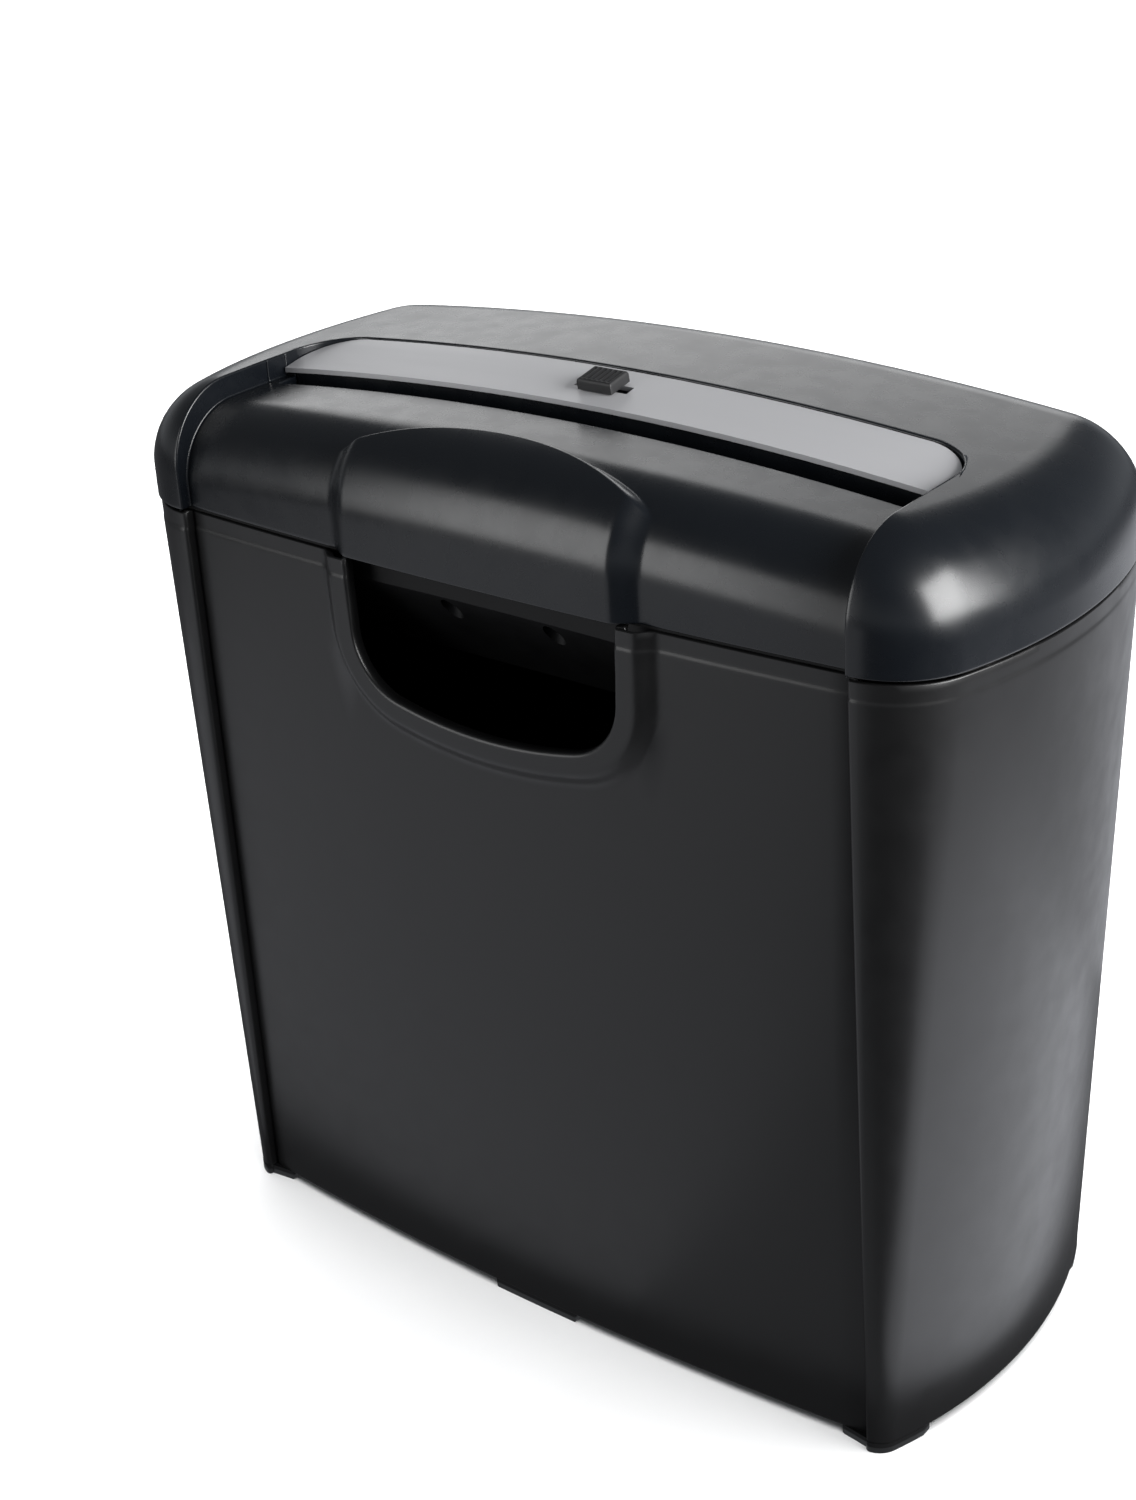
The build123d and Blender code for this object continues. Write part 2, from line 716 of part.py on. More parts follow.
def cutter_discs(y, shift):
    """Round cutters on the six-sided part of a shaft."""
    discs = []
    for x in disc_places(shift):
        disc = rod(x - disc_thickness / 2, x + disc_thickness / 2, y, cutter_z, disc_radius)
        disc = disc - hex_bar(x - disc_thickness, x + disc_thickness, y, cutter_z, shaft_flats + hex_fit)
        discs.append(disc)
    return Compound(children=discs)


spacer_radius = shaft_spacing - disc_radius - spacer_gap


def spacers(y, shift):
    """Sleeves between the discs, and from the end discs to the side plates."""
    edges = [-stack_side]
    for x in disc_places(shift):
        edges += [x - disc_thickness / 2, x + disc_thickness / 2]
    edges.append(stack_side)
    sleeves = []
    for x0, x1 in zip(edges[0::2], edges[1::2]):
        sleeve = rod(x0, x1, y, cutter_z, spacer_radius)
        sleeves.append(sleeve - hex_bar(x0 - side_plate, x1 + side_plate, y, cutter_z, shaft_flats + hex_fit))
    return Compound(children=sleeves)


def shaft(y, right_end, clip_rooms):
    """Six-sided between the side plates, round where it runs in the bushes."""
    bar = hex_bar(-stack_side, stack_side, y, cutter_z, shaft_flats)
    bar = bar + rod(-bush_out - clip_room, right_end, y, cutter_z, journal_radius)
    for x0 in clip_rooms:
        bar = bar - ring(x0, x0 + clip_thickness, y, cutter_z, 2 * journal_radius, clip_bore)
    return bar


def clips(y, rooms):
    """Retaining rings that sit in the grooves of a shaft."""
    return Compound(children=[ring(x0, x0 + clip_thickness, y, cutter_z, clip_radius, clip_bore)
                              for x0 in rooms])


left_clip = -bush_out - clip_play - clip_thickness
right_clip = drive_out + clip_play
journal_bore = journal_radius + press_play
shaft_data = (
    ("front", front_shaft_y, 0, sync_out, [left_clip]),
    ("rear", rear_shaft_y, strip_width, drive_out + clip_room, [left_clip, right_clip]),
)
for name, y, shift, right_end, rooms in shaft_data:
    write(f"{name}_cutter_shaft", shaft(y, right_end, rooms))
    write(f"{name}_cutter_discs", cutter_discs(y, shift))
    write(f"{name}_cutter_spacers", spacers(y, shift))
    write(f"{name}_shaft_clips", clips(y, rooms))
rear_sync = gear(sync_teeth, shaft_spacing / sync_teeth, sync_in, sync_out, rear_shaft_y, cutter_z, pi)
front_sync = gear(sync_teeth, shaft_spacing / sync_teeth, sync_in, sync_out, front_shaft_y, cutter_z,
                  pi / sync_teeth)
drive_angle = atan2(axle_z - cutter_z, axle_y - rear_shaft_y)
drive = gear(drive_teeth, drive_module, drive_in, drive_out, rear_shaft_y, cutter_z, drive_angle)
write("front_sync_gear", front_sync - rod(sync_in, sync_out, front_shaft_y, cutter_z, journal_bore))
write("rear_sync_gear", rear_sync - rod(sync_in, sync_out, rear_shaft_y, cutter_z, journal_bore))
write("drive_gear", drive - rod(drive_in, drive_out, rear_shaft_y, cutter_z, journal_bore))

# Intermediate gear and its fixed axle
motor_angle = atan2(motor_z - axle_z, motor_y - axle_y)
idler = gear(idler_teeth, drive_module, drive_in, wheel_in, axle_y, axle_z,
             drive_angle + pi + pi / idler_teeth)
wheel = gear(wheel_teeth, motor_module, wheel_in, wheel_out, axle_y, axle_z, motor_angle)
axle_bore = rod(drive_in, wheel_out, axle_y, axle_z, axle_radius + running_play)
write("intermediate_gear", idler + wheel - axle_bore)
axle = rod(plate_in, plate_out, axle_y, axle_z, axle_root)
axle = axle + rod(plate_out, drive_in - running_end, axle_y, axle_z, axle_shoulder)
axle = axle + rod(drive_in - running_end, wheel_out + clip_room, axle_y, axle_z, axle_radius)
axle_clip = wheel_out + clip_play
axle = axle - ring(axle_clip, axle_clip + clip_thickness, axle_y, axle_z, axle_shoulder, axle_clip_bore)
write("intermediate_axle", axle)
write("intermediate_clip", ring(axle_clip, axle_clip + clip_thickness, axle_y, axle_z,
                                axle_clip_radius, axle_clip_bore))

# Motor
can_front = plate_in - motor_cap
can_rear = can_front - motor_length
motor_can = rod(can_rear, can_front, motor_y, motor_z, motor_radius)
motor_can = motor_can - rod(can_rear, can_front, motor_y, motor_z, motor_radius - can_wall)
write("motor_can", motor_can)
front_cap = rod(can_front, plate_in, motor_y, motor_z, motor_radius)
front_cap = front_cap + rod(plate_in, plate_out + boss_rise, motor_y, motor_z, motor_boss)
motor_bore = motor_shaft_radius + running_play
front_cap = front_cap - rod(can_front, plate_out + boss_rise, motor_y, motor_z, motor_bore)
motor_screw_places = [(motor_y, motor_z + side * motor_screw_reach) for side in (-1, 1)]
for y, z in motor_screw_places:
    front_cap = front_cap - rod(can_front, plate_in, y, z, screw_radius + screw_clearance)
write("motor_front_cap", front_cap)
rear_cap = rod(can_rear - motor_cap, can_rear, motor_y, motor_z, motor_radius)
rear_cap = rear_cap - rod(can_rear - motor_cap, can_rear, motor_y, motor_z, motor_bore)
write("motor_rear_cap", rear_cap)
rotor_inner = motor_radius - can_wall - magnet_thickness
magnet = ring(can_rear + motor_cap, can_front - motor_cap, motor_y, motor_z,
              motor_radius - can_wall - press_play, rotor_inner)
write("motor_magnets", magnet)
rotor = rod(can_rear + 2 * motor_cap, can_front - 2 * motor_cap, motor_y, motor_z, rotor_inner - rotor_gap)
write("motor_armature", rotor - rod(can_rear, can_front, motor_y, motor_z, motor_shaft_radius + press_play))
write("motor_shaft", rod(can_rear - motor_cap, wheel_out, motor_y, motor_z, motor_shaft_radius))
pinion = gear(pinion_teeth, motor_module, wheel_in, wheel_out, motor_y, motor_z,
              motor_angle + pi + pi / pinion_teeth)
write("motor_pinion", pinion - rod(wheel_in, wheel_out, motor_y, motor_z, motor_shaft_radius + press_play))
motor_screws = []
for y, z in motor_screw_places:
    bolt = rod(can_front + screw_tip_gap, plate_out, y, z, screw_radius)
    motor_screws.append(bolt + rod(plate_out, plate_out + screw_head_height, y, z, screw_head_radius))
write("motor_screws", Compound(children=motor_screws))

# Side plates, bushes and tie rods
tie_places = [(slot_centre + y, cutter_z + z) for y, z in (front_tie, upper_tie, lower_tie)]
plate_nose = comb_reach + plate_lip
plate_drop = disc_radius + plate_margin
plate_outline = [
    (front_shaft_y - plate_nose, cutter_z), (front_shaft_y - plate_nose, cutter_z + plate_rise / 2),
    (front_shaft_y - plate_nose / 2, cutter_z + plate_rise), (motor_y, cutter_z + plate_rise),
    (motor_y + motor_radius, motor_z + motor_radius / 2), (motor_y + motor_radius, housing_floor),
    (exit_rear + exit_lip, housing_floor), (exit_rear + exit_lip, cutter_z - plate_drop),
    (front_shaft_y - disc_overlap, cutter_z - plate_drop),
]
bush_hole = bush_radius + press_play
for name, side in (("left", -1), ("right", 1)):
    x0, x1 = sorted((side * plate_in, side * plate_out))
    sheet = yz_prism(plate_outline, x0, x1)
    for y in (front_shaft_y, rear_shaft_y):
        sheet = sheet - rod(x0, x1, y, cutter_z, bush_hole)
    for y, z in tie_places:
        sheet = sheet - rod(x0, x1, y, z, tie_thread + press_play)
    if side == 1:
        sheet = sheet - rod(x0, x1, motor_y, motor_z, motor_boss + press_play)
        sheet = sheet - rod(x0, x1, axle_y, axle_z, axle_root + press_play)
        for y, z in motor_screw_places:
            sheet = sheet - rod(x0, x1, y, z, screw_radius + screw_clearance)
    write(f"{name}_side_plate", sheet)
bushes = []
for side in (-1, 1):
    for y in (front_shaft_y, rear_shaft_y):
        barrel = rod(*sorted((side * plate_in, side * bush_out)), y, cutter_z, bush_radius)
        collar = rod(*sorted((side * plate_out, side * (plate_out + bush_collar))), y, cutter_z,
                     bush_radius + bush_collar)
        bore = rod(*sorted((side * plate_in, side * bush_out)), y, cutter_z, journal_radius + running_play)
        bushes.append(barrel + collar - bore)
write("shaft_bushes", Compound(children=bushes))
rods = []
nuts = []
for y, z in tie_places:
    bar = rod(-plate_in, plate_in, y, z, tie_radius)
    rods.append(bar + rod(-plate_out - nut_height, plate_out + nut_height, y, z, tie_thread))
    for x0 in (-plate_out - nut_height, plate_out):
        nut = hex_bar(x0, x0 + nut_height, y, z, nut_flats)
        nuts.append(nut - rod(x0, x0 + nut_height, y, z, tie_thread + press_play))
write("tie_rods", Compound(children=rods))
write("tie_rod_nuts", Compound(children=nuts))

# Stripper combs: a bar with a finger against every spacer
finger_half = (disc_pitch - disc_thickness) / 2 - finger_play
for name, y, shift, out in (("front", front_shaft_y, 0, -1), ("rear", rear_shaft_y, strip_width, 1)):
    bar_in = disc_radius + comb_gap
    tip = spacer_radius + comb_gap / 2
    comb = block(-plate_in, plate_in, *sorted((y + out * bar_in, y + out * comb_reach)),
                 cutter_z - comb_half_height, cutter_z + comb_half_height)
    for x in disc_places(shift)[:-1]:
        middle = x + strip_width
        comb = comb + block(middle - finger_half, middle + finger_half,
                            *sorted((y + out * tip, y + out * comb_reach)),
                            cutter_z - comb_half_height, cutter_z + comb_half_height)
    write(f"{name}_stripper_comb", comb)

# Throat guide: a frame that leads the paper into the nip, with ears for the sensor lever
guide_bottom = cutter_z + disc_radius + comb_gap
guide = block(-plate_in, plate_in, slot_front - guide_wall, slot_rear + guide_wall,
              guide_bottom, slot_wall_bottom - guide_gap)
front_lip = block(-plate_in, plate_in, slot_front - guide_wall, slot_front, guide_bottom,
                  head_top - panel_drop - crown_drop - cover_wall - guide_gap)
guide_inside = plate_in - guide_wall
guide = guide + front_lip - block(-guide_inside, guide_inside, slot_front, slot_rear, 0, head_top)
lever_y = slot_rear + guide_wall + lever_reach
lever_z = slot_wall_bottom - guide_gap - lever_drop
ear_in = lever_half_width + ear_gap
for side in (-1, 1):
    guide = guide + block(*sorted((side * ear_in, side * (ear_in + guide_wall))), slot_rear,
                          lever_y + lever_hub, lever_z - lever_hub, lever_z + lever_hub)
guide = guide - block(-ear_in, ear_in, slot_rear - guide_wall / 2, slot_rear + guide_wall,
                      guide_bottom + guide_gap, lever_z + lever_hub)
guide = guide + rod(-ear_in - guide_wall, ear_in + guide_wall, lever_y, lever_z, lever_pin)
write("throat_guide", guide)

# Sensor lever: a hub on the guide's pin with an arm across the throat
lever = rod(-lever_half_width, lever_half_width, lever_y, lever_z, lever_hub)
lever = lever + block(-lever_half_width, lever_half_width, slot_front + lever_tip_gap, lever_y,
                      lever_z - lever_arm / 2, lever_z + lever_arm / 2)
lever = lever - rod(-lever_half_width, lever_half_width, lever_y, lever_z, lever_pin + running_play)
write("paper_sensor_lever", lever)
switch_x = ear_in + guide_wall
write("auto_start_switch", block(switch_x, switch_x + microswitch_length, slot_rear + guide_wall,
                                 slot_rear + guide_wall + microswitch_depth,
                                 lever_z - lever_hub, lever_z - lever_hub + microswitch_height))

# Mode switch: a sliding knob on the plate over a switch under the cover, drawn from the plate's surface
body_top = -plate_thickness - cover_wall - guide_gap / 2
mode_body = block(-mode_body_half, mode_body_half, -mode_body_depth / 2, mode_body_depth / 2,
                  body_top - mode_body_height, body_top)
mode_body = mode_body - block(-mode_slot_half, mode_slot_half, -mode_slot_width / 2, mode_slot_width / 2,
                              body_top - mode_channel, body_top)
write("mode_switch_body", mode_frame * mode_body)
knob = block(-mode_stem_half, mode_stem_half, mode_play - mode_slot_width / 2, mode_slot_width / 2 - mode_play,
             body_top - mode_channel + mode_play, mode_play)
grip = block(-mode_grip_half, mode_grip_half, -mode_grip_depth / 2, mode_grip_depth / 2,
             mode_play, mode_play + mode_grip_height)
grip = fillet(grip.faces().sort_by(Axis.Z)[-1].edges(), mode_grip_round)
write("mode_switch_knob", mode_frame * (knob + grip))

# Control board and what is soldered to it
board_top = board_bottom + board_thickness
board = block(board_x0, board_x1, board_y0, board_y1, board_bottom, board_top)
for x, y in standoff_places:
    board = board - post(x, y, board_bottom, board_top, board_screw + screw_clearance)
write("control_board", board)
board_screws = []
for x, y in standoff_places:
    shank = post(x, y, board_bottom - standoff_height / 2, board_top, board_screw)
    board_screws.append(shank + post(x, y, board_top, board_top + board_screw, 2 * board_screw))
write("board_screws", Compound(children=board_screws))
board_mid = (board_y0 + board_y1) / 2
relay_x = board_x0 + relay_place
write("relay", block(relay_x, relay_x + relay_length,
                     board_mid - relay_width / 2, board_mid + relay_width / 2,
                     board_top, board_top + relay_height))
capacitor_x = relay_x + relay_length + capacitor_radius + part_gap
write("filter_capacitor", post(capacitor_x, board_mid, board_top, board_top + capacitor_height,
                               capacitor_radius))
terminal_x = board_x1 - terminal_length
write("terminal_block", block(terminal_x, board_x1,
                              board_mid - terminal_width / 2, board_mid + terminal_width / 2,
                              board_top, board_top + terminal_height))

# Motor leads from the terminal block to the motor's rear cap
lead_end = can_rear - motor_cap
lead_low = board_top + terminal_height / 2
lead_high = motor_z - motor_screw_reach
leads = []
for side in (-1, 1):
    y = board_mid + side * terminal_width / 4
    knee = lead_end - board_x1
    line = FilletPolyline((board_x1, y, lead_low), (board_x1 + lead_run * knee, y, lead_low),
                          (lead_end - lead_run * knee, y, lead_high), (lead_end, y, lead_high),
                          radius=lead_bend)
    section = Plane(origin=(board_x1, y, lead_low), z_dir=(1, 0, 0)) * Circle(lead_radius)
    leads.append(sweep(section, line))
write("motor_leads", Compound(children=leads))
cutout_x = (can_rear + can_front) / 2
write("thermal_cutout", block(cutout_x - cutout_length / 2, cutout_x + cutout_length / 2,
                              motor_y - cutout_width / 2, motor_y + cutout_width / 2,
                              motor_z + motor_radius, motor_z + motor_radius + cutout_height))

# Cord gland in the back of the cover
gland = bar_y(gland_x, gland_z, gland_inside - gland_inner, cover_end_front + gland_rise, gland_radius)
gland = gland + bar_y(gland_x, gland_z, cover_end_front, cover_end_front + gland_flange, gland_flange_radius)
gland = gland + bar_y(gland_x, gland_z, gland_inside - gland_flange, gland_inside, gland_flange_radius)
gland = gland - bar_y(gland_x, gland_z, gland_inside - gland_inner, cover_end_front + gland_rise, gland_bore)
write("cord_gland", gland)
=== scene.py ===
# %% [markdown]
# # A paper shredder in its studio
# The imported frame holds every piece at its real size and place. This lesson keeps the inner
# works as they come from the frame, models the two big mouldings and the small knob anew as
# clean smooth skins, gives every piece a finish and lights the whole on a pale floor.

# %% Load the frame
import json
import math

import bmesh
import bpy
import numpy as np
from mathutils import Matrix, Vector


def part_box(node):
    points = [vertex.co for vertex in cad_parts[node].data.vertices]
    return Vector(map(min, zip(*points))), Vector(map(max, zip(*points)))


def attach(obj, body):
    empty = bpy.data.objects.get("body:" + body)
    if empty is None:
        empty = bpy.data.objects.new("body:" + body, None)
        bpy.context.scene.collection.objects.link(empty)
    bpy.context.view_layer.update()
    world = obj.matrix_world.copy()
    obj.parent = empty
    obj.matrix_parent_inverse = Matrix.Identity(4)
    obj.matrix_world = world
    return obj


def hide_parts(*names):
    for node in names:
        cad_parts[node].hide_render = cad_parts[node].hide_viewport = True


MM = 0.001
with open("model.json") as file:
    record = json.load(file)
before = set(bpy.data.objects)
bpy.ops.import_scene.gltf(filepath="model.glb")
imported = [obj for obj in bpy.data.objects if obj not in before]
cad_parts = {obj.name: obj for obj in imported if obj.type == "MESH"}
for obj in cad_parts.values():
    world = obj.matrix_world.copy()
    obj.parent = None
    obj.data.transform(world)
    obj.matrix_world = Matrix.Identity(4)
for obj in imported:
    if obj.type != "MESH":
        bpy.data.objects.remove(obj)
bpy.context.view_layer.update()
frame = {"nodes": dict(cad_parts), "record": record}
nodes = frame["nodes"]
print("nodes in the frame:", len(nodes))

# %% [markdown]
# The mouldings are described in millimetres, as a drawing would be, and turned into metres
# only when a mesh is made. The big measures could be typed in again, but read from the
# frame they put the skins where the solid pieces are, also after a piece has changed.

# %% Measures read from the frame


def limits(node):
    """Lowest and highest corner of a node, in millimetres."""
    low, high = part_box(node)
    return low / MM, high / MM


basket_high = limits("waste_basket")[1]
cover_low, cover_high = limits("head_cover")
plate_high = limits("control_plate")[1]
throat_left = limits("left_side_plate")[1].x
throat_right = limits("right_side_plate")[0].x
rim_height = basket_high.z
rim_half_width = basket_high.x
cover_bottom = cover_low.z
head_top = cover_high.z
throat_half = (throat_right - throat_left) / 2
print("rim", round(rim_height, 1), "top", round(head_top, 1), "throat", round(2 * throat_half, 1))

# %% [markdown]
# A moulding is drawn here as a few rectangular patches of points, each a grid that bends
# with the surface. A sculpted or boolean shape would also do, but a grid that follows the
# form keeps highlights smooth, which matters on dark satin plastic. This helper collects
# patches, joins the points that coincide and hands back one object.

# %% A helper that joins patches into one skin
WELD = 0.002


def blank(name, mesh):
    """A new object for a mesh, in the scene."""
    thing = bpy.data.objects.new(name, mesh)
    bpy.context.scene.collection.objects.link(thing)
    return thing


class Skin:
    """Patches of points in millimetres that become one mesh."""

    def __init__(self):
        self.points = []
        self.faces = []

    def patch(self, grid, leave_out=None):
        """Add a grid of points, rows by columns by three, without the faces left out."""
        grid = np.asarray(grid, float)
        rows, columns = grid.shape[:2]
        start = len(self.points)
        self.points.extend(grid.reshape(-1, 3))
        for row in range(rows - 1):
            for column in range(columns - 1):
                if leave_out and leave_out(grid[row:row + 2, column:column + 2].mean(axis=(0, 1))):
                    continue
                corner = start + row * columns + column
                self.faces.append((corner, corner + 1, corner + columns + 1, corner + columns))

    def build(self, name, outside, sharp):
        """Weld the patches, turn the faces towards a point outside, and shade them."""
        mesh = bpy.data.meshes.new(name)
        mesh.from_pydata([tuple(p * MM) for p in np.asarray(self.points)], [], self.faces)
        work = bmesh.new()
        work.from_mesh(mesh)
        bmesh.ops.remove_doubles(work, verts=work.verts, dist=WELD * MM)
        bmesh.ops.dissolve_degenerate(work, edges=work.edges, dist=WELD * MM / 2)
        bmesh.ops.recalc_face_normals(work, faces=work.faces)
        probe = Vector(outside) * MM
        nearest = min(work.faces, key=lambda f: (f.calc_center_median() - probe).length)
        if nearest.normal.dot(probe - nearest.calc_center_median()) < 0:
            bmesh.ops.reverse_faces(work, faces=work.faces)
        work.to_mesh(mesh)
        work.free()
        mesh.shade_smooth()
        mesh.set_sharp_from_angle(angle=math.radians(sharp))
        print(name, "has", len(mesh.vertices), "points and", len(mesh.polygons), "faces")
        return blank(name, mesh)


print("points closer than", WELD, "mm are joined")

# %% [markdown]
# ## Waste basket: the outline
# Seen from above, the basket is two gently bowed long panels between two rounded ends that
# stand a little proud of them, and it tapers towards the floor. Two curves with a surface
# spanned between them would also do. Here the outline at any height is worked out from the
# same few measures, so that panels and ends meet exactly all the way down.

# %% The long panels at any height
foot_height = 3.0
crease_margin, taper_crease = 4.2, 3.8
rim_crease = throat_half + crease_margin
rim_end_front, taper_depth, panel_step = 65.5, 3.5, 3.0
rim_bow, floor_bow = 4.0, 6.0
band_height, band_inset, ledge = 4.8, 0.25, 1.4
rim_edge = 0.5
panel_edge_roll, panel_edge_reach = 0.7, 4.0


def smooth(t):
    """An S-shaped ramp from 0 to 1."""
    t = np.clip(t, 0.0, 1.0)
    return t * t * (3 - 2 * t)


def share(z):
    """0 at the underside, where the feet begin, and 1 at the rim."""
    return (z - foot_height) / (rim_height - foot_height)


def crease_at(z):
    """Half the width of a long panel."""
    return rim_crease + taper_crease * (1 - share(z))


def band_at(z):
    """How far the fine band under the rim lies behind the wall, and the broken edge above it."""
    band = band_inset * smooth((z - rim_height + band_height + ledge) / ledge)
    return band + rim_edge * smooth((z - rim_height + rim_edge) / rim_edge)


def panel_y(x, z):
    """How far a long panel lies from the middle plane."""
    across = np.clip(np.abs(x) / crease_at(z), 0, 1)
    level = rim_end_front - taper_depth * (1 - share(z)) - panel_step
    bow = floor_bow + (rim_bow - floor_bow) * share(z)
    roll = np.clip((np.abs(x) - crease_at(z)) / panel_edge_reach + 1, 0, 1)
    return level + bow * (1 - across**2) - panel_edge_roll * roll**2 - band_at(z)


print("a long panel is", round(2 * crease_at(rim_height), 1), "mm wide at the rim")

# %% [markdown]
# In plan an end is made of arcs: a tight one at each corner, a wide one across the tip, and a
# small round where it stands proud of the panel. A spline through a few points would also
# do, but arcs keep their character at every height.

# %% The rounded ends at any height
taper_width = 9.5
rim_corner, floor_corner = 25.4, 8.0
end_edge_round = 1.3
CORNER_STEPS, BOW_STEPS, EDGE_POINTS = 14, 16, 5


def end_outline(half_width, crease, front, corner):
    """One rounded end from its front crease to its tip, as plan points."""
    end = half_width - crease
    bow = (end**2 + front**2 - 2 * front * corner) / (2 * (end - corner))
    lean = math.atan2(front - corner, bow - end)
    start = math.acos(min(1, end_edge_round / corner))
    turns = np.linspace(start, lean, CORNER_STEPS + 1)
    points = [(crease + corner * math.cos(a), corner - front - corner * math.sin(a)) for a in turns]
    for a in np.linspace(-lean, 0, BOW_STEPS + 1)[1:]:
        points.append((half_width - bow + bow * math.cos(a), bow * math.sin(a)))
    return np.array(points)


def half_end(z):
    """The front half of a rounded end at one height, from the panel's edge to the tip."""
    low = 1 - share(z)
    inset = band_at(z)
    half_width = rim_half_width - taper_width * low - inset
    front = rim_end_front - taper_depth * low - inset
    corner = floor_corner + (rim_corner - floor_corner) * share(z)
    crease = crease_at(z)
    outline = end_outline(half_width, crease, front, corner)
    edge_front = outline[0][1]
    points = [(crease, -panel_y(crease, z))]
    for a in np.linspace(0, math.pi / 2, EDGE_POINTS)[:-1]:
        points.append((crease + end_edge_round * (1 - math.cos(a)),
                       edge_front + end_edge_round * (1 - math.sin(a))))
    return np.vstack([points, outline])


def end_columns(z):
    """The whole right end at one height, front crease to rear crease."""
    front = half_end(z)
    rear = front[-2::-1] * (1, -1)
    plan = np.vstack([front, rear])
    return np.column_stack([plan, np.full(len(plan), z)])


print("points round one end:", len(end_columns(rim_height)))

# %% [markdown]
# ## Waste basket: the hand hole
# A U-shaped hole under the rim lets a hand lift the head or carry the basket. Its raised
# collar runs out softly into the panel. A hole cut with a boolean would leave a hard edge
# and uneven faces. So the edge of the hole is worked out first, from straight sides, two
# corner arcs and a wide arc below, and the panel is then drawn around it.

# %% The edge of the hand hole
hole_half_width, hole_flare = 47.5, 1.0
hole_depth, hole_corner, hole_bottom_radius = 44.5, 20.0, 147.0
SIDE_POINTS, TURN_POINTS, ARC_POINTS = 60, 80, 60


def hole_half():
    """The left half of the hole's edge, from the rim to the lowest point, finely sampled."""
    bottom = rim_height - hole_depth
    corner_x = hole_half_width - hole_corner
    spread = math.sqrt((hole_bottom_radius - hole_corner) ** 2 - corner_x**2)
    corner_z = bottom + hole_bottom_radius - spread
    lean = math.atan2(corner_x, spread)
    flare = hole_flare * (rim_height - corner_z) / (rim_height - corner_z + hole_corner)
    side = [(-hole_half_width - flare * t, corner_z + (rim_height - corner_z) * t)
            for t in np.linspace(1, 0, SIDE_POINTS)]
    turns = np.linspace(math.pi / 2, lean, TURN_POINTS)[1:]
    corner = [(-corner_x - hole_corner * math.sin(a), corner_z - hole_corner * math.cos(a)) for a in turns]
    sweep = np.linspace(lean, 0, ARC_POINTS)[1:]
    centre_z = bottom + hole_bottom_radius
    arc = [(-hole_bottom_radius * math.sin(a), centre_z - hole_bottom_radius * math.cos(a)) for a in sweep]
    return np.array(side + corner + arc)


left_edge = hole_half()
hole_edge = np.vstack([left_edge, left_edge[-2::-1] * (-1, 1)])
edge_run = np.concatenate([[0], np.cumsum(np.hypot(*np.diff(left_edge, axis=0).T))])
print("length of the hole's edge:", round(2 * edge_run[-1], 1), "mm")


def on_edge(run):
    """A point on the left half of the hole's edge, by its distance from the rim."""
    return np.array([np.interp(run, edge_run, left_edge[:, k]) for k in (0, 1)])


# %% [markdown]
# The front panel is a fan of rays that start on the edge of the hole and end on the creases
# or at the foot of the wall, so that collar and rolled edge follow the hole exactly. The
# upper rays lie close together, where the fine band runs under the rim.

# %% The rays of the front panel
floor_round = 0.9
wall_foot = foot_height + floor_round
side_rays, floor_rays = 15, 40
# Depths of the upper rays under the rim
band_margin = 0.8
below_band = [9.0, 12.0]
rim_levels = [0, rim_edge, band_height / 2, band_height - band_margin]
rim_levels += list(band_height + ledge * np.linspace(0, 1, EDGE_POINTS))
rim_levels += [band_height + ledge + band_margin] + below_band
level_rays = len(rim_levels)
levels = [rim_height - drop for drop in rim_levels]
levels += list(np.linspace(levels[-1], wall_foot, side_rays + 1)[1:])

half_rays = []
for z in levels[:level_rays]:
    run = rim_height - z
    half_rays.append((on_edge(run), np.array([-crease_at(z), z])))
# The share of the hole's edge whose rays end on the crease, the others end at the wall's foot
turn_share = 0.36
turn_run = turn_share * edge_run[-1]
for step, z in enumerate(levels[level_rays:]):
    run = rim_levels[-1] + (turn_run - rim_levels[-1]) * (step + 1) / side_rays
    half_rays.append((on_edge(run), np.array([-crease_at(z), z])))
for step in range(1, floor_rays + 1):
    part = step / floor_rays
    run = turn_run + (edge_run[-1] - turn_run) * part
    half_rays.append((on_edge(run), np.array([-crease_at(wall_foot) * (1 - part), wall_foot])))
mirrored = [(start * (-1, 1), end * (-1, 1)) for start, end in half_rays[-2::-1]]
rays = half_rays + mirrored
print("rays on the front panel:", len(rays))

# %% [markdown]
# Along each ray the points lie close together near the hole, where the collar rises and the
# edge rolls in, and further apart on the plain panel. Even steps would need many more points
# for the same collar.

# %% Points along the rays
collar_flat, collar_width, collar_rise = 6.0, 12.0, 3.6
lip_round, lip_depth = 1.2, 2.4
# Distances from the rolled edge of the hole
near_hole = [0.6, 1.4, 2.4, 3.5, 4.5, 5.6, 6.8, 8.0, 9.2, 10.5, 11.8, 13.0, 14.5]
far_steps = 14


def away_from_hole(x, z):
    """Distance from points of the panel to the hole's edge."""
    gaps = np.hypot(x[:, None] - hole_edge[:, 0], z[:, None] - hole_edge[:, 1])
    return gaps.min(axis=1)


def front_points(x, z):
    """Points on the outside of the front panel, collar included."""
    distance = away_from_hole(x, z)
    rise = collar_rise * (1 - smooth((distance - collar_flat) / (collar_width - collar_flat)))
    return np.column_stack([x, -panel_y(x, z) - rise, z])


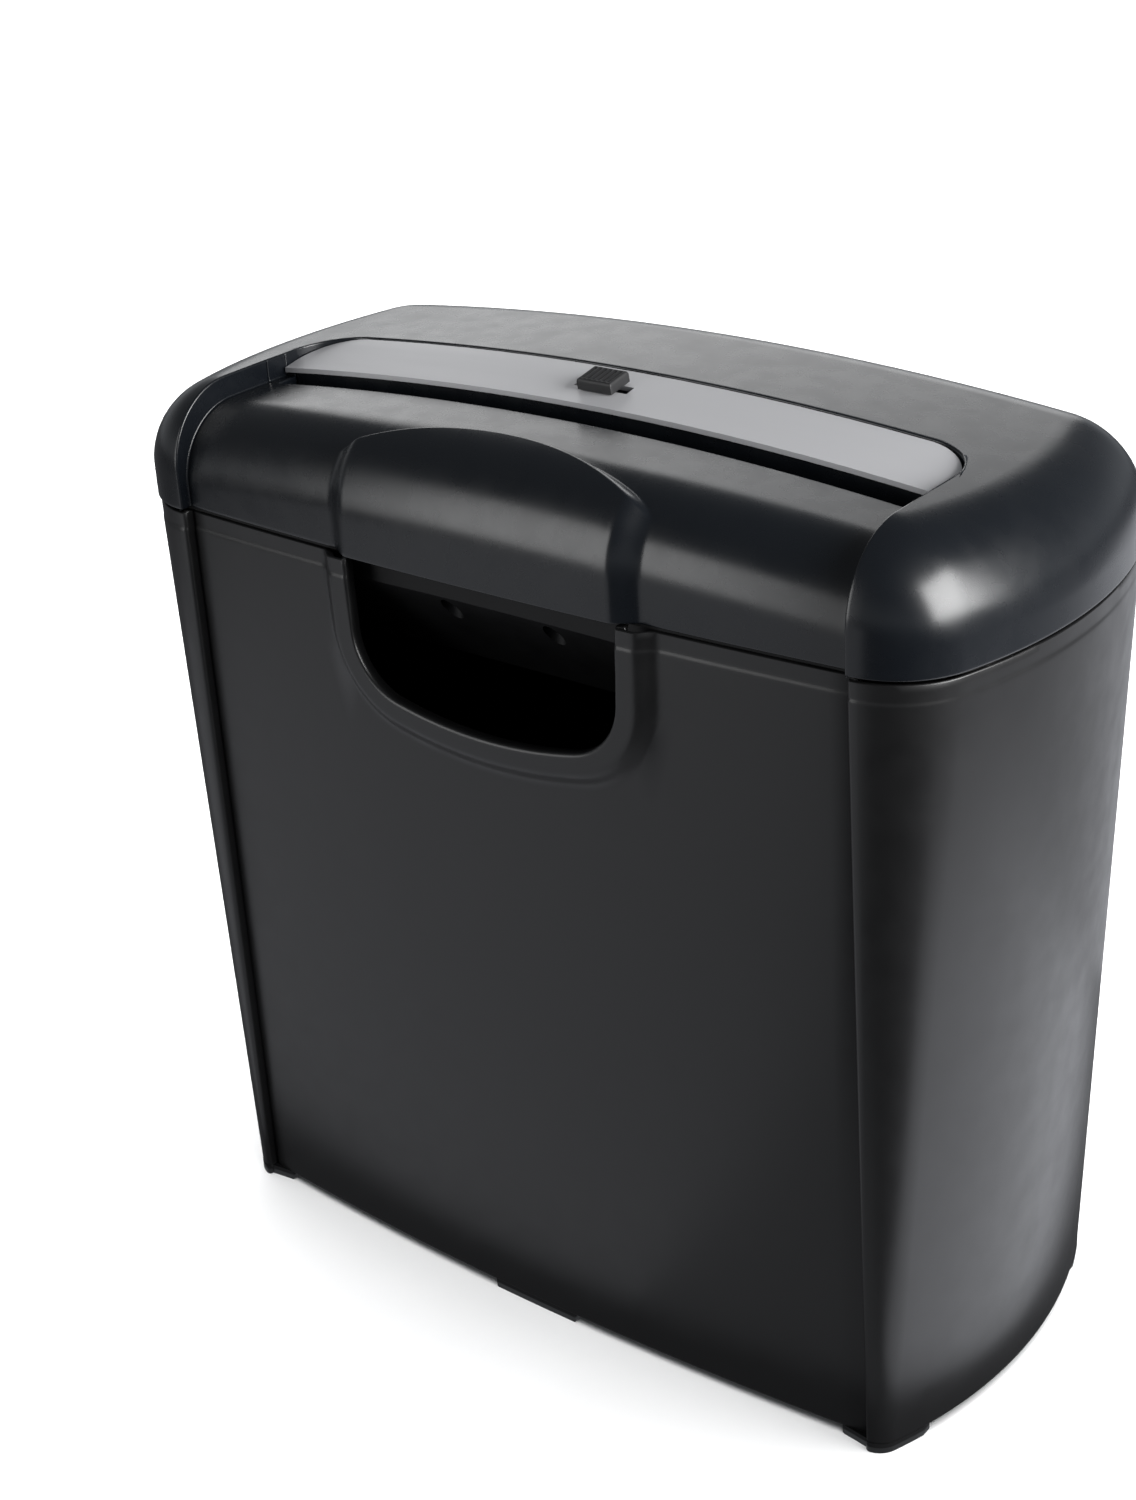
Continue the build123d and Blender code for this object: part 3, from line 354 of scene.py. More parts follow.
def ray_points(start, end):
    """One ray from deep in the hole, over its rolled edge, to the edge of the panel."""
    way = (end - start) / np.hypot(*(end - start))
    length = np.hypot(*(end - start))
    far = np.linspace(near_hole[-1], length, far_steps + 1)[1:]
    runs = np.concatenate([near_hole, far])
    turns = np.linspace(math.pi / 2, 0, EDGE_POINTS)
    lip = lip_round * (1 - np.sin(turns))
    plan = start + np.concatenate([[0], lip, lip_round + runs])[:, None] * way
    plan[-1] = end
    points = front_points(plan[:, 0], plan[:, 1])
    depth = np.concatenate([[lip_round + lip_depth], lip_round * (1 - np.cos(turns))])
    points[:len(depth), 1] += depth
    return points


front_grid = np.array([ray_points(start, end) for start, end in rays])
print("front panel grid:", front_grid.shape)

# %% [markdown]
# ## Waste basket: put together
# The rounded ends and the plain back are columns from the rim to the floor. A small round
# leads under the floor. The inside could be drawn as well, but a wall of even thickness
# does the same with less: it turns the skin into a basket.

# %% Build the basket
basket_wall = 2.4
FLOOR_STEPS = 8


def thicken(thing, wall):
    """Give a skin its wall, inwards from the surface that shows."""
    solid = thing.modifiers.new("wall", "SOLIDIFY")
    solid.thickness = wall * MM
    solid.offset = -1
    solid.use_quality_normals = True


basket = Skin()
basket.patch(front_grid)

right_rows = np.array([end_columns(z) for z in levels])
basket.patch(right_rows)
left_rows = right_rows * (-1, 1, 1)
basket.patch(left_rows)

back_x = np.array([ray[1][0] for ray in rays[len(levels) - 1:len(rays) - len(levels) + 1]])
back_rows = []
for z in levels:
    x = back_x * crease_at(z) / crease_at(wall_foot)
    back_rows.append(np.column_stack([x, panel_y(x, z), np.full(len(x), z)]))
back_rows = np.array(back_rows)
basket.patch(back_rows)

# The loop along the foot of the wall, front to back in matching pairs
front_foot = front_grid[len(levels) - 1:len(rays) - len(levels) + 1, -1]
back_foot = back_rows[-1]
half_count = (right_rows.shape[1] + 1) // 2
right_front = right_rows[-1, :half_count]
right_back = right_rows[-1, ::-1][:half_count]
foot_front = np.vstack([right_front[::-1] * (-1, 1, 1), front_foot[1:-1], right_front])
foot_back = np.vstack([right_back[::-1] * (-1, 1, 1), back_foot[1:-1], right_back])
loops = []
for a in np.linspace(0, math.pi / 2, EDGE_POINTS):
    inset = floor_round * (1 - math.cos(a))
    shrink = np.array([1 - inset / rim_half_width, 1 - inset / rim_end_front, 1])
    sink = np.array([0, 0, floor_round * math.sin(a)])
    loops.append((foot_front * shrink - sink, foot_back * shrink - sink))
under = [front for front, _ in loops]
for part in np.linspace(0, 1, FLOOR_STEPS + 1)[1:-1]:
    under.append(loops[-1][0] * (1 - part) + loops[-1][1] * part)
under += [back for _, back in reversed(loops)]
basket.patch(np.array(under))
basket_skin = basket.build("basket_moulding", outside=(0, -200, 60), sharp=40)
thicken(basket_skin, basket_wall)

# %% [markdown]
# ## Head cover: the loaf
# The head is a loaf with rounded ends and a recess for the front panel and the plate. Its
# outline follows the basket's, a little larger. The edge of the recess gets a point for each
# point of the outline, so that straight columns can join the two. A mesh filled in by itself
# would have no such order, and its highlights would waver.

# %% The loaf's outline and its recess
cover_overhang = 0.5
cover_end_front = rim_end_front + cover_overhang
cover_half_width = cover_high.x
plate_gap = 0.6
recess_rear = plate_high.y + plate_gap
recess_corner = 17.0
REAR_STEPS = 40

loaf_right = end_outline(cover_half_width, rim_crease, cover_end_front, rim_corner + cover_overhang)
loaf_right = np.vstack([[(rim_crease, -cover_end_front)], loaf_right])
loaf_right = np.vstack([loaf_right, loaf_right[-2::-1] * (1, -1)])
gland_low, gland_high = limits("cord_gland")
gland_x = (gland_low.x + gland_high.x) / 2
gland_z = (gland_low.z + gland_high.z) / 2
gland_half, gland_margin = 4.6, 1.0
rear_x = np.linspace(rim_crease, -rim_crease, REAR_STEPS + 1)[1:-1]
clear_of_gland = np.abs(np.abs(rear_x) - abs(gland_x)) > gland_half + gland_margin
gland_edges = [side * (abs(gland_x) + step) for side in (1, -1) for step in (gland_half, -gland_half)]
rear_x = np.sort(np.concatenate([rear_x[clear_of_gland], gland_edges]))[::-1]
loaf_rear = np.column_stack([rear_x, np.full(len(rear_x), cover_end_front)])
loaf_left = loaf_right[::-1] * (-1, 1)
loaf_outline = np.vstack([loaf_right, loaf_rear, loaf_left])

recess_turns = np.linspace(0, math.pi / 2, len(loaf_right))
bend_x = rim_crease - recess_corner + recess_corner * np.cos(recess_turns)
bend_y = recess_rear - recess_corner + recess_corner * np.sin(recess_turns)
recess_right = np.column_stack([bend_x, bend_y])
recess_x = rear_x * (rim_crease - recess_corner) / rim_crease
recess_back = np.column_stack([recess_x, np.full(len(rear_x), recess_rear)])
recess_line = np.vstack([recess_right, recess_back, recess_right[::-1] * (-1, 1)])
print("points round the loaf:", len(loaf_outline))

# %% [markdown]
# A large, even round runs along the loaf's upper edge and makes domes of its ends. A bevelled
# block would pinch where the ends curve. A rolling ball gives an even round: how far a point
# lies below the crowned top depends only on its distance from the outline.

# %% The loaf's height
loaf_round, crown_drop = 24.0, 6.5
NO_LENGTH = 1e-9


def crown(x, middle):
    """Height of a level that falls gently from the middle to the ends."""
    return middle - crown_drop * (x / rim_crease) ** 2


def inside_by(points):
    """How far plan points lie inside the loaf's outline."""
    start = loaf_outline
    way = np.roll(loaf_outline, -1, axis=0) - start
    span = np.maximum((way**2).sum(axis=1), NO_LENGTH)
    gap = points[:, None, :] - start[None]
    along = np.clip((gap * way[None]).sum(axis=2) / span, 0, 1)
    return np.linalg.norm(gap - along[..., None] * way[None], axis=2).min(axis=1)


def loaf_z(points):
    """Height of the loaf over plan points, rolled over its edge."""
    depth = loaf_round - np.minimum(inside_by(points), loaf_round)
    level = crown(points[:, 0], head_top)
    return level - loaf_round + np.sqrt(np.maximum(loaf_round**2 - depth**2, 0))


print("the loaf's top falls by", crown_drop, "mm to the creases")

# %% [markdown]
# Each column of the loaf climbs the wall, rolls over the round and runs straight in to the
# recess. The first and the last column are the edges of the recess themselves. Equal steps
# would also do, but these lie closer where the surface bends and stop at the slot's edges.

# %% The loaf's columns
slot_front, slot_back = -24.0, -16.0
ROUND_ROWS = 40
COLUMN_SAMPLES = 400
TOUCH = 1e-6
gland_wall = crown(gland_x, head_top) - loaf_round - cover_bottom
gland_bottom = (gland_z - gland_half - cover_bottom) / gland_wall
gland_top = (gland_z + gland_half - cover_bottom) / gland_wall
wall_parts = np.array([0, gland_bottom / 2, gland_bottom, 0.5, gland_top])
WALL_ROWS = len(wall_parts)
round_end_y = loaf_round - cover_end_front
recess_start_y = recess_rear - recess_corner
# Where the flat part of the columns has points, among them both edges of the slot
top_stops = [-36.0, -30.0, slot_front, -20.5, slot_back, -13.0, recess_start_y]
top_parts = [(y - round_end_y) / (recess_start_y - round_end_y) for y in top_stops]


def loaf_column(outer, inner):
    """Points from the lower edge of the loaf to the recess."""
    way = inner - outer
    parts = np.linspace(0, 1, COLUMN_SAMPLES)
    depths = inside_by(outer + parts[:, None] * way)
    rolls = loaf_round * (1 - np.cos(np.linspace(0, math.pi / 2, ROUND_ROWS + 1)))
    climbing = int(np.argmax(depths >= loaf_round - TOUCH)) or len(depths) - 1
    roll_parts = np.interp(rolls, depths[:climbing + 1], parts[:climbing + 1])
    last = roll_parts[-1]
    inner_parts = [last + (1 - last) * part for part in top_parts]
    plan = outer + np.concatenate([roll_parts, inner_parts])[:, None] * way
    heights = loaf_z(plan)
    heights[0] = crown(outer[0], head_top) - loaf_round
    wall = cover_bottom + wall_parts * (heights[0] - cover_bottom)
    low = np.column_stack([np.tile(outer, (WALL_ROWS, 1)), wall])
    return np.vstack([low, np.column_stack([plan, heights])])


loaf_grid = np.array([loaf_column(a, b) for a, b in zip(loaf_outline, recess_line)])
print("loaf grid:", loaf_grid.shape)

# %% [markdown]
# ## Head cover: the front panel and its raised middle
# Between the ends the front lies a little deeper and bows forward. Its middle is raised,
# with soft flanks and an arched upper edge. It could be a second piece laid on top, but the
# moulding is one skin. So the panel is a grid of columns across the head, and the raised
# middle lifts its points square to the surface.

# %% The front panel
panel_drop, panel_round, cover_step = 7.2, 22.0, 3.6
raise_half, raise_flank, raise_height = 46.5, 9.0, 4.0
arch_lead, arch_fall, arch_slope = -1.0, 9.8, 3.6
flank_margin = 1.5
MIDDLE_COLUMNS, FLANK_COLUMNS, OUTER_COLUMNS = 19, 18, 13
TOP_ROWS = top_stops.index(slot_front) + 1
BELOW_ARCH, ON_ARCH = 22, 10
ABOVE_ARCH = WALL_ROWS + ROUND_ROWS + TOP_ROWS - BELOW_ARCH - ON_ARCH
flank_x = np.linspace(raise_half - flank_margin, raise_half + raise_flank + flank_margin, FLANK_COLUMNS + 1)
panel_half_x = np.concatenate([np.linspace(0, flank_x[0], MIDDLE_COLUMNS + 1)[:-1], flank_x,
                               np.linspace(flank_x[-1], throat_half, OUTER_COLUMNS + 1)[1:], [rim_crease]])
panel_x = np.concatenate([-panel_half_x[:0:-1], panel_half_x])


def panel_column(x):
    """Points up the front panel at one place across the head, and over to the slot."""
    front = cover_end_front - cover_step + rim_bow * (1 - (x / rim_crease) ** 2)
    top = crown(x, head_top - panel_drop)
    wall = top - panel_round - cover_bottom
    turn = panel_round * math.pi / 2
    over = front - panel_round + slot_front
    rolls = turn * np.linspace(0, 1, ROUND_ROWS + 1)
    ends = over * np.linspace(0, 1, TOP_ROWS + 1)[1:]
    plain_run = np.concatenate([wall * wall_parts, wall + rolls, wall + turn + ends])
    beyond = max(abs(x) - raise_half, 0)
    arch = wall + turn + arch_lead - arch_fall * (min(abs(x), raise_half + raise_flank) / raise_half) ** 2
    arched_run = np.concatenate([np.linspace(0, arch - arch_slope, BELOW_ARCH + 1),
                                 np.linspace(arch - arch_slope, arch, ON_ARCH + 1)[1:],
                                 np.linspace(arch, wall + turn + over, ABOVE_ARCH + 1)[1:]])
    near = smooth((rim_crease - abs(x)) / (rim_crease - raise_half - 2 * raise_flank))
    run = plain_run * (1 - near) + arched_run * near
    angle = np.clip((run - wall) / panel_round, 0, math.pi / 2)
    above = np.clip((run - arch + arch_slope) / arch_slope, 0, None)
    lift = raise_height * (1 - smooth(np.hypot(beyond / raise_flank, above)))
    y = -front + panel_round * (1 - np.cos(angle)) + np.maximum(run - wall - turn, 0)
    z = cover_bottom + np.minimum(run, wall) + panel_round * np.sin(angle)
    return np.column_stack([np.full(len(run), x), y - lift * np.cos(angle), z + lift * np.sin(angle)])


panel_grid = np.array([panel_column(x) for x in panel_x])
print("panel grid:", panel_grid.shape)

# %% [markdown]
# The flanks of the recess join the loaf to the panel. Behind the slot they only have to
# reach below the plate, which dips to the slot. The slot has a front wall, a rear wall
# under the plate's front edge, and at each end a small ledge at the level of the panel. All
# of this could be cut from a block, but joined patches leave clean edges to be softened.

# %% The slot and its flanks
slot_wall = 9.0
seat_depth = 3.0
plate_slope, plate_sink, plate_thickness = 0.18, 0.4, 1.5
SLOT_STEPS = 30
cover = Skin()


def seat_z(x, y):
    """Height of the underside of the plate."""
    return crown(x, head_top) - plate_slope * (recess_rear - y) - (plate_sink + plate_thickness)


def in_gland_hole(middle):
    """Whether a face of the loaf lies in the square hole behind the gland's flange."""
    beside = max(abs(middle[0] - gland_x), abs(middle[2] - gland_z))
    return middle[1] > 0 and beside < gland_half


cover.patch(loaf_grid, in_gland_hole)
cover.patch(panel_grid)
panel_rows = panel_grid.shape[1]
slot_front_row = panel_rows - 1
slot_back_row = slot_front_row + top_stops.index(slot_back) - top_stops.index(slot_front)
for side in (1, -1):
    upper = loaf_grid[0] if side == 1 else loaf_grid[-1]
    lower = panel_grid[-1] if side == 1 else panel_grid[0]
    cover.patch([upper[:panel_rows], lower])
    level = lower[-1, 2]
    ledge_outer = upper[slot_front_row:slot_back_row + 1].copy()
    ledge_outer[:, 2] = level
    cover.patch([upper[slot_front_row:slot_back_row + 1], ledge_outer])
    ledge_inner = ledge_outer.copy()
    ledge_inner[:, 0] = side * throat_half
    ledge_inner[:, 2] = crown(throat_half, head_top - panel_drop)
    cover.patch([ledge_outer, ledge_inner])
    cover.patch([ledge_inner, ledge_inner - (0, 0, slot_wall)])
    seat = upper[slot_back_row:].copy()
    seat[:, 2] = seat_z(seat[:, 0], seat[:, 1]) - seat_depth
    cover.patch([upper[slot_back_row:], seat])
    end_foot = np.array([ledge_outer[-1], ledge_inner[-1]])
    end_head = end_foot.copy()
    end_head[:, 2] = seat_z(end_foot[:, 0], slot_back)
    cover.patch([end_head, end_foot])
recess_rim = loaf_grid[:, -1]
recess_seat = recess_rim.copy()
recess_seat[:, 2] = seat_z(recess_seat[:, 0], recess_seat[:, 1]) - seat_depth
cover.patch([recess_rim, recess_seat])
slot_x = np.linspace(-throat_half, throat_half, SLOT_STEPS + 1)
slot_head = np.column_stack([slot_x, np.full(len(slot_x), slot_back), seat_z(slot_x, slot_back)])
slot_foot = slot_head.copy()
slot_foot[:, 2] = crown(throat_half, head_top - panel_drop)
cover.patch([slot_head, slot_foot, slot_foot - (0, 0, slot_wall)])
lip = panel_grid[1:-1, -1]
cover.patch([lip, lip - (0, 0, slot_wall)])
print("patches of the cover have", len(cover.faces), "faces")

# %% [markdown]
# A wall makes a cover of the skin. Real mouldings have no knife edges, so a narrow bevel
# softens them. Rounds could be drawn into every patch, but a modifier does it in one go, and
# weighted normals keep the broad faces next to it flat in the light.

# %% Build the cover
cover_wall = 1.4
soft_edge = 0.6
cover_skin = cover.build("cover_moulding", outside=(0, -200, 255), sharp=180)
thicken(cover_skin, cover_wall)
edges = cover_skin.modifiers.new("soft edges", "BEVEL")
edges.width = soft_edge * MM
edges.segments = 3
edges.limit_method = "ANGLE"
edges.angle_limit = math.radians(50)
edges.use_clamp_overlap = False
even = cover_skin.modifiers.new("even shading", "WEIGHTED_NORMAL")
even.keep_sharp = True

# %% [markdown]
# ## Waste basket: the feet
# Six low blocks carry the basket, four under the corners and two under the long panels.
# They are moulded with it, nearly flush with the walls above. Plain cubes would not follow
# the walls, so each is cut from the basket's own outline and drawn down to the floor, with
# its lower edge broken.

# %% Build the feet
foot_inset, foot_edge = 0.2, 0.5
corner_foot_x, corner_foot_y = 112.0, 44.0
middle_foot_half, middle_foot_y = 16.0, 40.0
MIDDLE_FOOT_POINTS = 9


def wall_line(x):
    """The front of a foot under the long panel."""
    return foot_inset - panel_y(x, wall_foot)


tip = half_end(wall_foot)
tip = tip + foot_inset * np.array([-1, 1]) * (tip - (rim_crease, 0)) / rim_end_front
tip = tip[(tip[:, 1] < -corner_foot_y) & (tip[:, 0] > corner_foot_x)]
corner_plan = np.vstack([[(corner_foot_x, wall_line(corner_foot_x))], tip[1:],
                         [(tip[-1, 0], -corner_foot_y), (corner_foot_x, -corner_foot_y)]])
middle_x = np.linspace(-middle_foot_half, middle_foot_half, MIDDLE_FOOT_POINTS)
middle_plan = np.vstack([np.column_stack([middle_x, wall_line(middle_x)]),
                         [(middle_foot_half, -middle_foot_y), (-middle_foot_half, -middle_foot_y)]])
feet = Skin()


def add_foot(plan):
    """One closed block under a plan outline."""
    loop = np.vstack([plan, plan[:1]])
    middle = plan.mean(axis=0)
    inner = middle + (loop - middle) * (1 - foot_edge / np.abs(loop - middle).max(axis=0))
    rings = [(np.tile(middle, (len(loop), 1)), foot_height + foot_edge), (loop, foot_height + foot_edge),
             (loop, foot_edge), (inner, 0.0), (np.tile(middle, (len(loop), 1)), 0.0)]
    feet.patch([np.column_stack([ring, np.full(len(ring), z)]) for ring, z in rings])


for front in (1, -1):
    add_foot(middle_plan * (1, front))
    for side in (1, -1):
        add_foot(corner_plan * (side, front))
feet_skin = feet.build("basket_feet", outside=(0, -200, 1), sharp=30)

# %% [markdown]
# ## Mode switch knob
# The small knob of the mode switch slides along the plate. A thumb needs something to hold,
# so its top is ribbed. The ribs could be bars set on a block. As waves in a fine grid, with
# the edges rolled over, they run into the knob as moulded ribs do.

# %% Build the knob
knob_low, knob_high = limits("mode_switch_knob")
knob_x, knob_y = (knob_low.x + knob_high.x) / 2, -6.0
half_x, half_y = (knob_high.x - knob_low.x) / 2, 4.5
grip_bottom, grip_top, knob_roll = 0.3, 3.8, 1.0
rib_pitch, rib_depth, rib_start = 1.8, 0.5, 0.6
KNOB_COLUMNS, KNOB_ROWS = 81, 31


def on_plate(points):
    """Turn points given from the plate's surface to where the knob stands on it."""
    lean = math.atan(plate_slope)
    x, y, z = np.moveaxis(points, -1, 0)
    level = head_top - plate_sink - plate_slope * (recess_rear - knob_y)
    return np.stack([knob_x + x, knob_y + y * math.cos(lean) - z * math.sin(lean),
                     level + y * math.sin(lean) + z * math.cos(lean)], axis=-1)


grip_x = np.linspace(-half_x, half_x, KNOB_COLUMNS)
grip_y = np.linspace(-half_y, half_y, KNOB_ROWS)
grid_x, grid_y = np.meshgrid(grip_x, grip_y, indexing="ij")
border = np.minimum(half_x - np.abs(grid_x), half_y - np.abs(grid_y))
drop = knob_roll - np.sqrt(knob_roll**2 - (knob_roll - np.minimum(border, knob_roll)) ** 2)
ribs = rib_depth * np.sin(math.pi * grid_x / rib_pitch) ** 2 * smooth(border / knob_roll - rib_start)
knob_crown = on_plate(np.dstack([grid_x, grid_y, grip_top - drop - ribs]))
knob_base = on_plate(np.dstack([grid_x, grid_y, np.full(grid_x.shape, grip_bottom)]))
knob = Skin()
knob.patch(knob_crown)
knob.patch(knob_base)
for edge in (np.s_[0, :], np.s_[-1, :], np.s_[:, 0], np.s_[:, -1]):
    knob.patch([knob_crown[edge], knob_base[edge]])
knob_skin = knob.build("mode_knob_grip", outside=(0, 0, 400), sharp=50)

# %% [markdown]
# ## Finishes
# No moulded or ground surface is one flat colour. Each finish here mixes three noises: a
# broad one shifts the colour a little, a middle one varies the gloss, and a fine one raises
# the grain. Stretching the noises along one axis turns the grain into brush marks. Painted
# pictures could do the same, but noises have no seams and stay sharp close up.

# %% A finish made of noises
noise_low, noise_high = 0.3, 0.7
gloss_spots = 5
brush_stretch = 0.03
cool_white = (0.96, 0.98, 1.04, 1)


def add_node(tree, kind, **values):
    """A shader node with its inputs set by name."""
    made = tree.nodes.new("ShaderNode" + kind)
    for key, value in values.items():
        made.inputs[key.replace("_", " ")].default_value = value
    return made


def finish(name, shades, rough, metal=0.0, shine=0.5, glow=0.0, blotch=45.0, grain=0.5, depth=0.004,
           along=None):
    """A procedural finish: two shades, a range of roughness, and a grain in millimetres."""
    made = bpy.data.materials.new(name)
    made.use_nodes = True
    tree = made.node_tree
    shader = tree.nodes["Principled BSDF"]
    shader.inputs["Metallic"].default_value = metal
    shader.inputs["Specular IOR Level"].default_value = shine
    shader.inputs["Emission Strength"].default_value = glow
    shader.inputs["Emission Color"].default_value = cool_white
    place = add_node(tree, "TexCoord")
    stretch = [brush_stretch if axis == along else 1.0 for axis in "xyz"]
    span = add_node(tree, "Mapping", Scale=stretch)
    tree.links.new(place.outputs["Object"], span.inputs["Vector"])
    noises = []
    for size, detail in ((blotch, 4.0), (blotch / gloss_spots, 3.0), (grain, 2.0)):
        noise = add_node(tree, "TexNoise", Scale=1 / (size * MM), Detail=detail)
        tree.links.new(span.outputs["Vector"], noise.inputs["Vector"])
        noises.append(noise)
    ramp = add_node(tree, "ValToRGB")
    for stop, place_on_ramp, shade in zip(ramp.color_ramp.elements, (noise_low, noise_high), shades):
        stop.position = place_on_ramp
        stop.color = (*shade, 1)
    tree.links.new(noises[0].outputs["Fac"], ramp.inputs["Fac"])
    tree.links.new(ramp.outputs["Color"], shader.inputs["Base Color"])
    gloss = add_node(tree, "MapRange", From_Min=noise_low, From_Max=noise_high,
                     To_Min=rough[0], To_Max=rough[1])
    tree.links.new(noises[1].outputs["Fac"], gloss.inputs["Value"])
    tree.links.new(gloss.outputs["Result"], shader.inputs["Roughness"])
    bump = add_node(tree, "Bump", Strength=1.0, Distance=depth * MM)
    tree.links.new(noises[2].outputs["Fac"], bump.inputs["Height"])
    tree.links.new(bump.outputs["Normal"], shader.inputs["Normal"])
    return made


def grey(level, cool=1.06):
    """A nearly neutral shade, slightly cool."""
    return (level, level, level * cool)


print("brush marks are", round(1 / brush_stretch), "times as long as wide")

# %% [markdown]
# The pieces that show get finishes of their own: satin black for the basket, a glossier and
# slightly blue black for the head, a matt black for the knob, and a silver satin for the plate.
# The tub under the head is matt black as well, but its black is made darker and far duller than
# the basket's as painted shade, so that its wall seen through the hand hole stays dark as if
# shadowed. One black for all would look like one lump, because moulded pieces of one colour
# still differ in gloss.

# %% Finishes of the pieces that show
looks = {}
looks["basket_black"] = finish("basket_satin_black", (grey(0.0032), grey(0.0039)), (0.34, 0.4),
                               shine=0.36, depth=0.003)
head_blue_black = ((0.0024, 0.0032, 0.0046), (0.003, 0.004, 0.0056))
looks["cover_black"] = finish("cover_gloss_black", head_blue_black, (0.25, 0.3), shine=0.38, depth=0.0015)
# Painted shade: the tub's black is darker and far less glossy, so its wall in the hand hole looks shadowed
looks["housing_black"] = finish("housing_black_and_painted_shade", (grey(0.0025), grey(0.0034)), (0.42, 0.5),
                                shine=0.14, depth=0.005)
looks["plate_silver"] = finish("plate_silver_satin", (grey(0.36, 1.03), grey(0.4, 1.03)), (0.32, 0.4),
                               metal=0.3, grain=0.25, depth=0.002, along="x")
looks["knob_black"] = finish("knob_matt_black", (grey(0.01), grey(0.014)), (0.45, 0.55),
                             shine=0.3, depth=0.006)
print("finishes that show:", ", ".join(looks))

# %% [markdown]
# The inner works take their colours from the record and their grain from the kind of
# material: ground steel has brush marks, sintered bronze and ferrite are coarse, rubber and
# moulded plastic are smooth with a fine texture. Each could be set by hand, but six kinds
# are enough for pieces that hardly show.

# %% Finishes of the inner works
kinds = {
    "matte_plastic": {"rough": (0.42, 0.55), "grain": 0.4, "depth": 0.006},
    "gloss_plastic": {"rough": (0.18, 0.28), "grain": 0.8, "depth": 0.002},
    "brushed_steel": {"rough": (0.24, 0.4), "metal": 1.0, "grain": 0.15, "depth": 0.004, "along": "x"},
    "cast_iron": {"rough": (0.6, 0.75), "grain": 0.2, "depth": 0.02},
    "brass": {"rough": (0.35, 0.5), "metal": 1.0, "grain": 0.15, "depth": 0.015},
    "rubber": {"rough": (0.6, 0.75), "grain": 0.3, "depth": 0.008},
}
darker, lighter = 0.85, 1.1
for entry in frame["record"]["materials"]:
    slot = entry["slot"]
    if slot in looks:
        continue
    colour = np.array(entry["base_color"])
    shades = (colour * darker, colour * lighter)
    looks[slot] = finish(slot + "_finish", shades, blotch=12.0, **kinds[entry["class"]])
print("finishes in all:", len(looks))

# %% [markdown]
# Every node of the frame takes the finish of its slot. The solid pieces that show also get
# finely broken edges, because no real edge is perfectly sharp. The new pieces could lie over
# the old ones, but then both would show in places. So they ride on their bodies and stand
# for the nodes that they replace.

# %% Dress the pieces
for entry in frame["record"]["subparts"]:
    thing = nodes[entry["node"]]
    thing.data.materials.clear()
    thing.data.materials.append(looks[entry["material_slot"]])
broken_edges = {"control_plate": 0.3, "lower_housing": 0.5, "cord_gland": 0.4}
for node, width in broken_edges.items():
    soft = nodes[node].modifiers.new("broken edges", "BEVEL")
    soft.width = width * MM
    soft.segments = 2
    soft.limit_method = "ANGLE"
    soft.angle_limit = math.radians(40)


def dress(thing, body, node, slot):
    """Let a new piece ride on its body, stand for its node and take its finish."""
    thing.data.materials.append(looks[slot])
    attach(thing, body)
    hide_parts(node)


dress(basket_skin, "basket", "waste_basket", "basket_black")
dress(feet_skin, "basket", "waste_basket", "basket_black")
dress(cover_skin, "head", "head_cover", "cover_black")
dress(knob_skin, "mode_knob", "mode_switch_knob", "knob_black")
new_pieces = [basket_skin, feet_skin, cover_skin, knob_skin]
print("new pieces:", ", ".join(thing.name for thing in new_pieces))

# %% [markdown]
# ## Camera
# The camera stands in front and to the right, looks down on the object and is turned a few
# degrees about its own axis. It could be placed by eye. Its place, aim and lens were worked
# out from the corners of the object instead, so that all of them fall where they should.

# %% Place the camera
camera_place = Vector((403.4, -523.8, 495.3)) * MM
camera_target = Vector((-18.22, -9.68, 170.47)) * MM
camera_roll = math.radians(-3.419)
camera_data = bpy.data.cameras.new("camera")
camera_data.sensor_fit = "VERTICAL"
camera_data.sensor_height = 36
camera_data.lens = 57.33
camera = bpy.data.objects.new("camera", camera_data)
bpy.context.scene.collection.objects.link(camera)
facing = (camera_target - camera_place).to_track_quat("-Z", "Y").to_matrix().to_4x4()
camera.matrix_world = Matrix.Translation(camera_place) @ facing @ Matrix.Rotation(camera_roll, 4, "Z")
bpy.context.scene.camera = camera
bpy.context.scene.view_settings.view_transform = "Standard"
print("camera to its aim:", round((camera_target - camera_place).length / MM), "mm")

# %% [markdown]
# ## Studio
# Black plastic shows hardly any colour of its own: what one sees is the room mirrored in it.
# A picture of a studio could serve as the room. A plain sky, brightest at the horizon and
# dimmer overhead, is easier to set, and the wide floor under it is nearly white.

# %% The room
floor_half = 8.0
pale = (grey(0.88, 1.0), grey(0.9, 1.0))


def level_rectangle(name, low, high, lift, look):
    """A level rectangle between two corners, in metres, with a finish."""
    corners = [(low[0], low[1], lift), (high[0], low[1], lift),
               (high[0], high[1], lift), (low[0], high[1], lift)]
    mesh = bpy.data.meshes.new(name)
    mesh.from_pydata(corners, [], [(0, 1, 2, 3)])
    mesh.materials.append(look)
    return blank(name, mesh)


floor_finish = finish("floor_pale", pale, (0.7, 0.8), blotch=300.0)
floor = level_rectangle("floor", (-floor_half, -floor_half), (floor_half, floor_half), 0, floor_finish)
floor.visible_diffuse = False
floor.visible_glossy = False

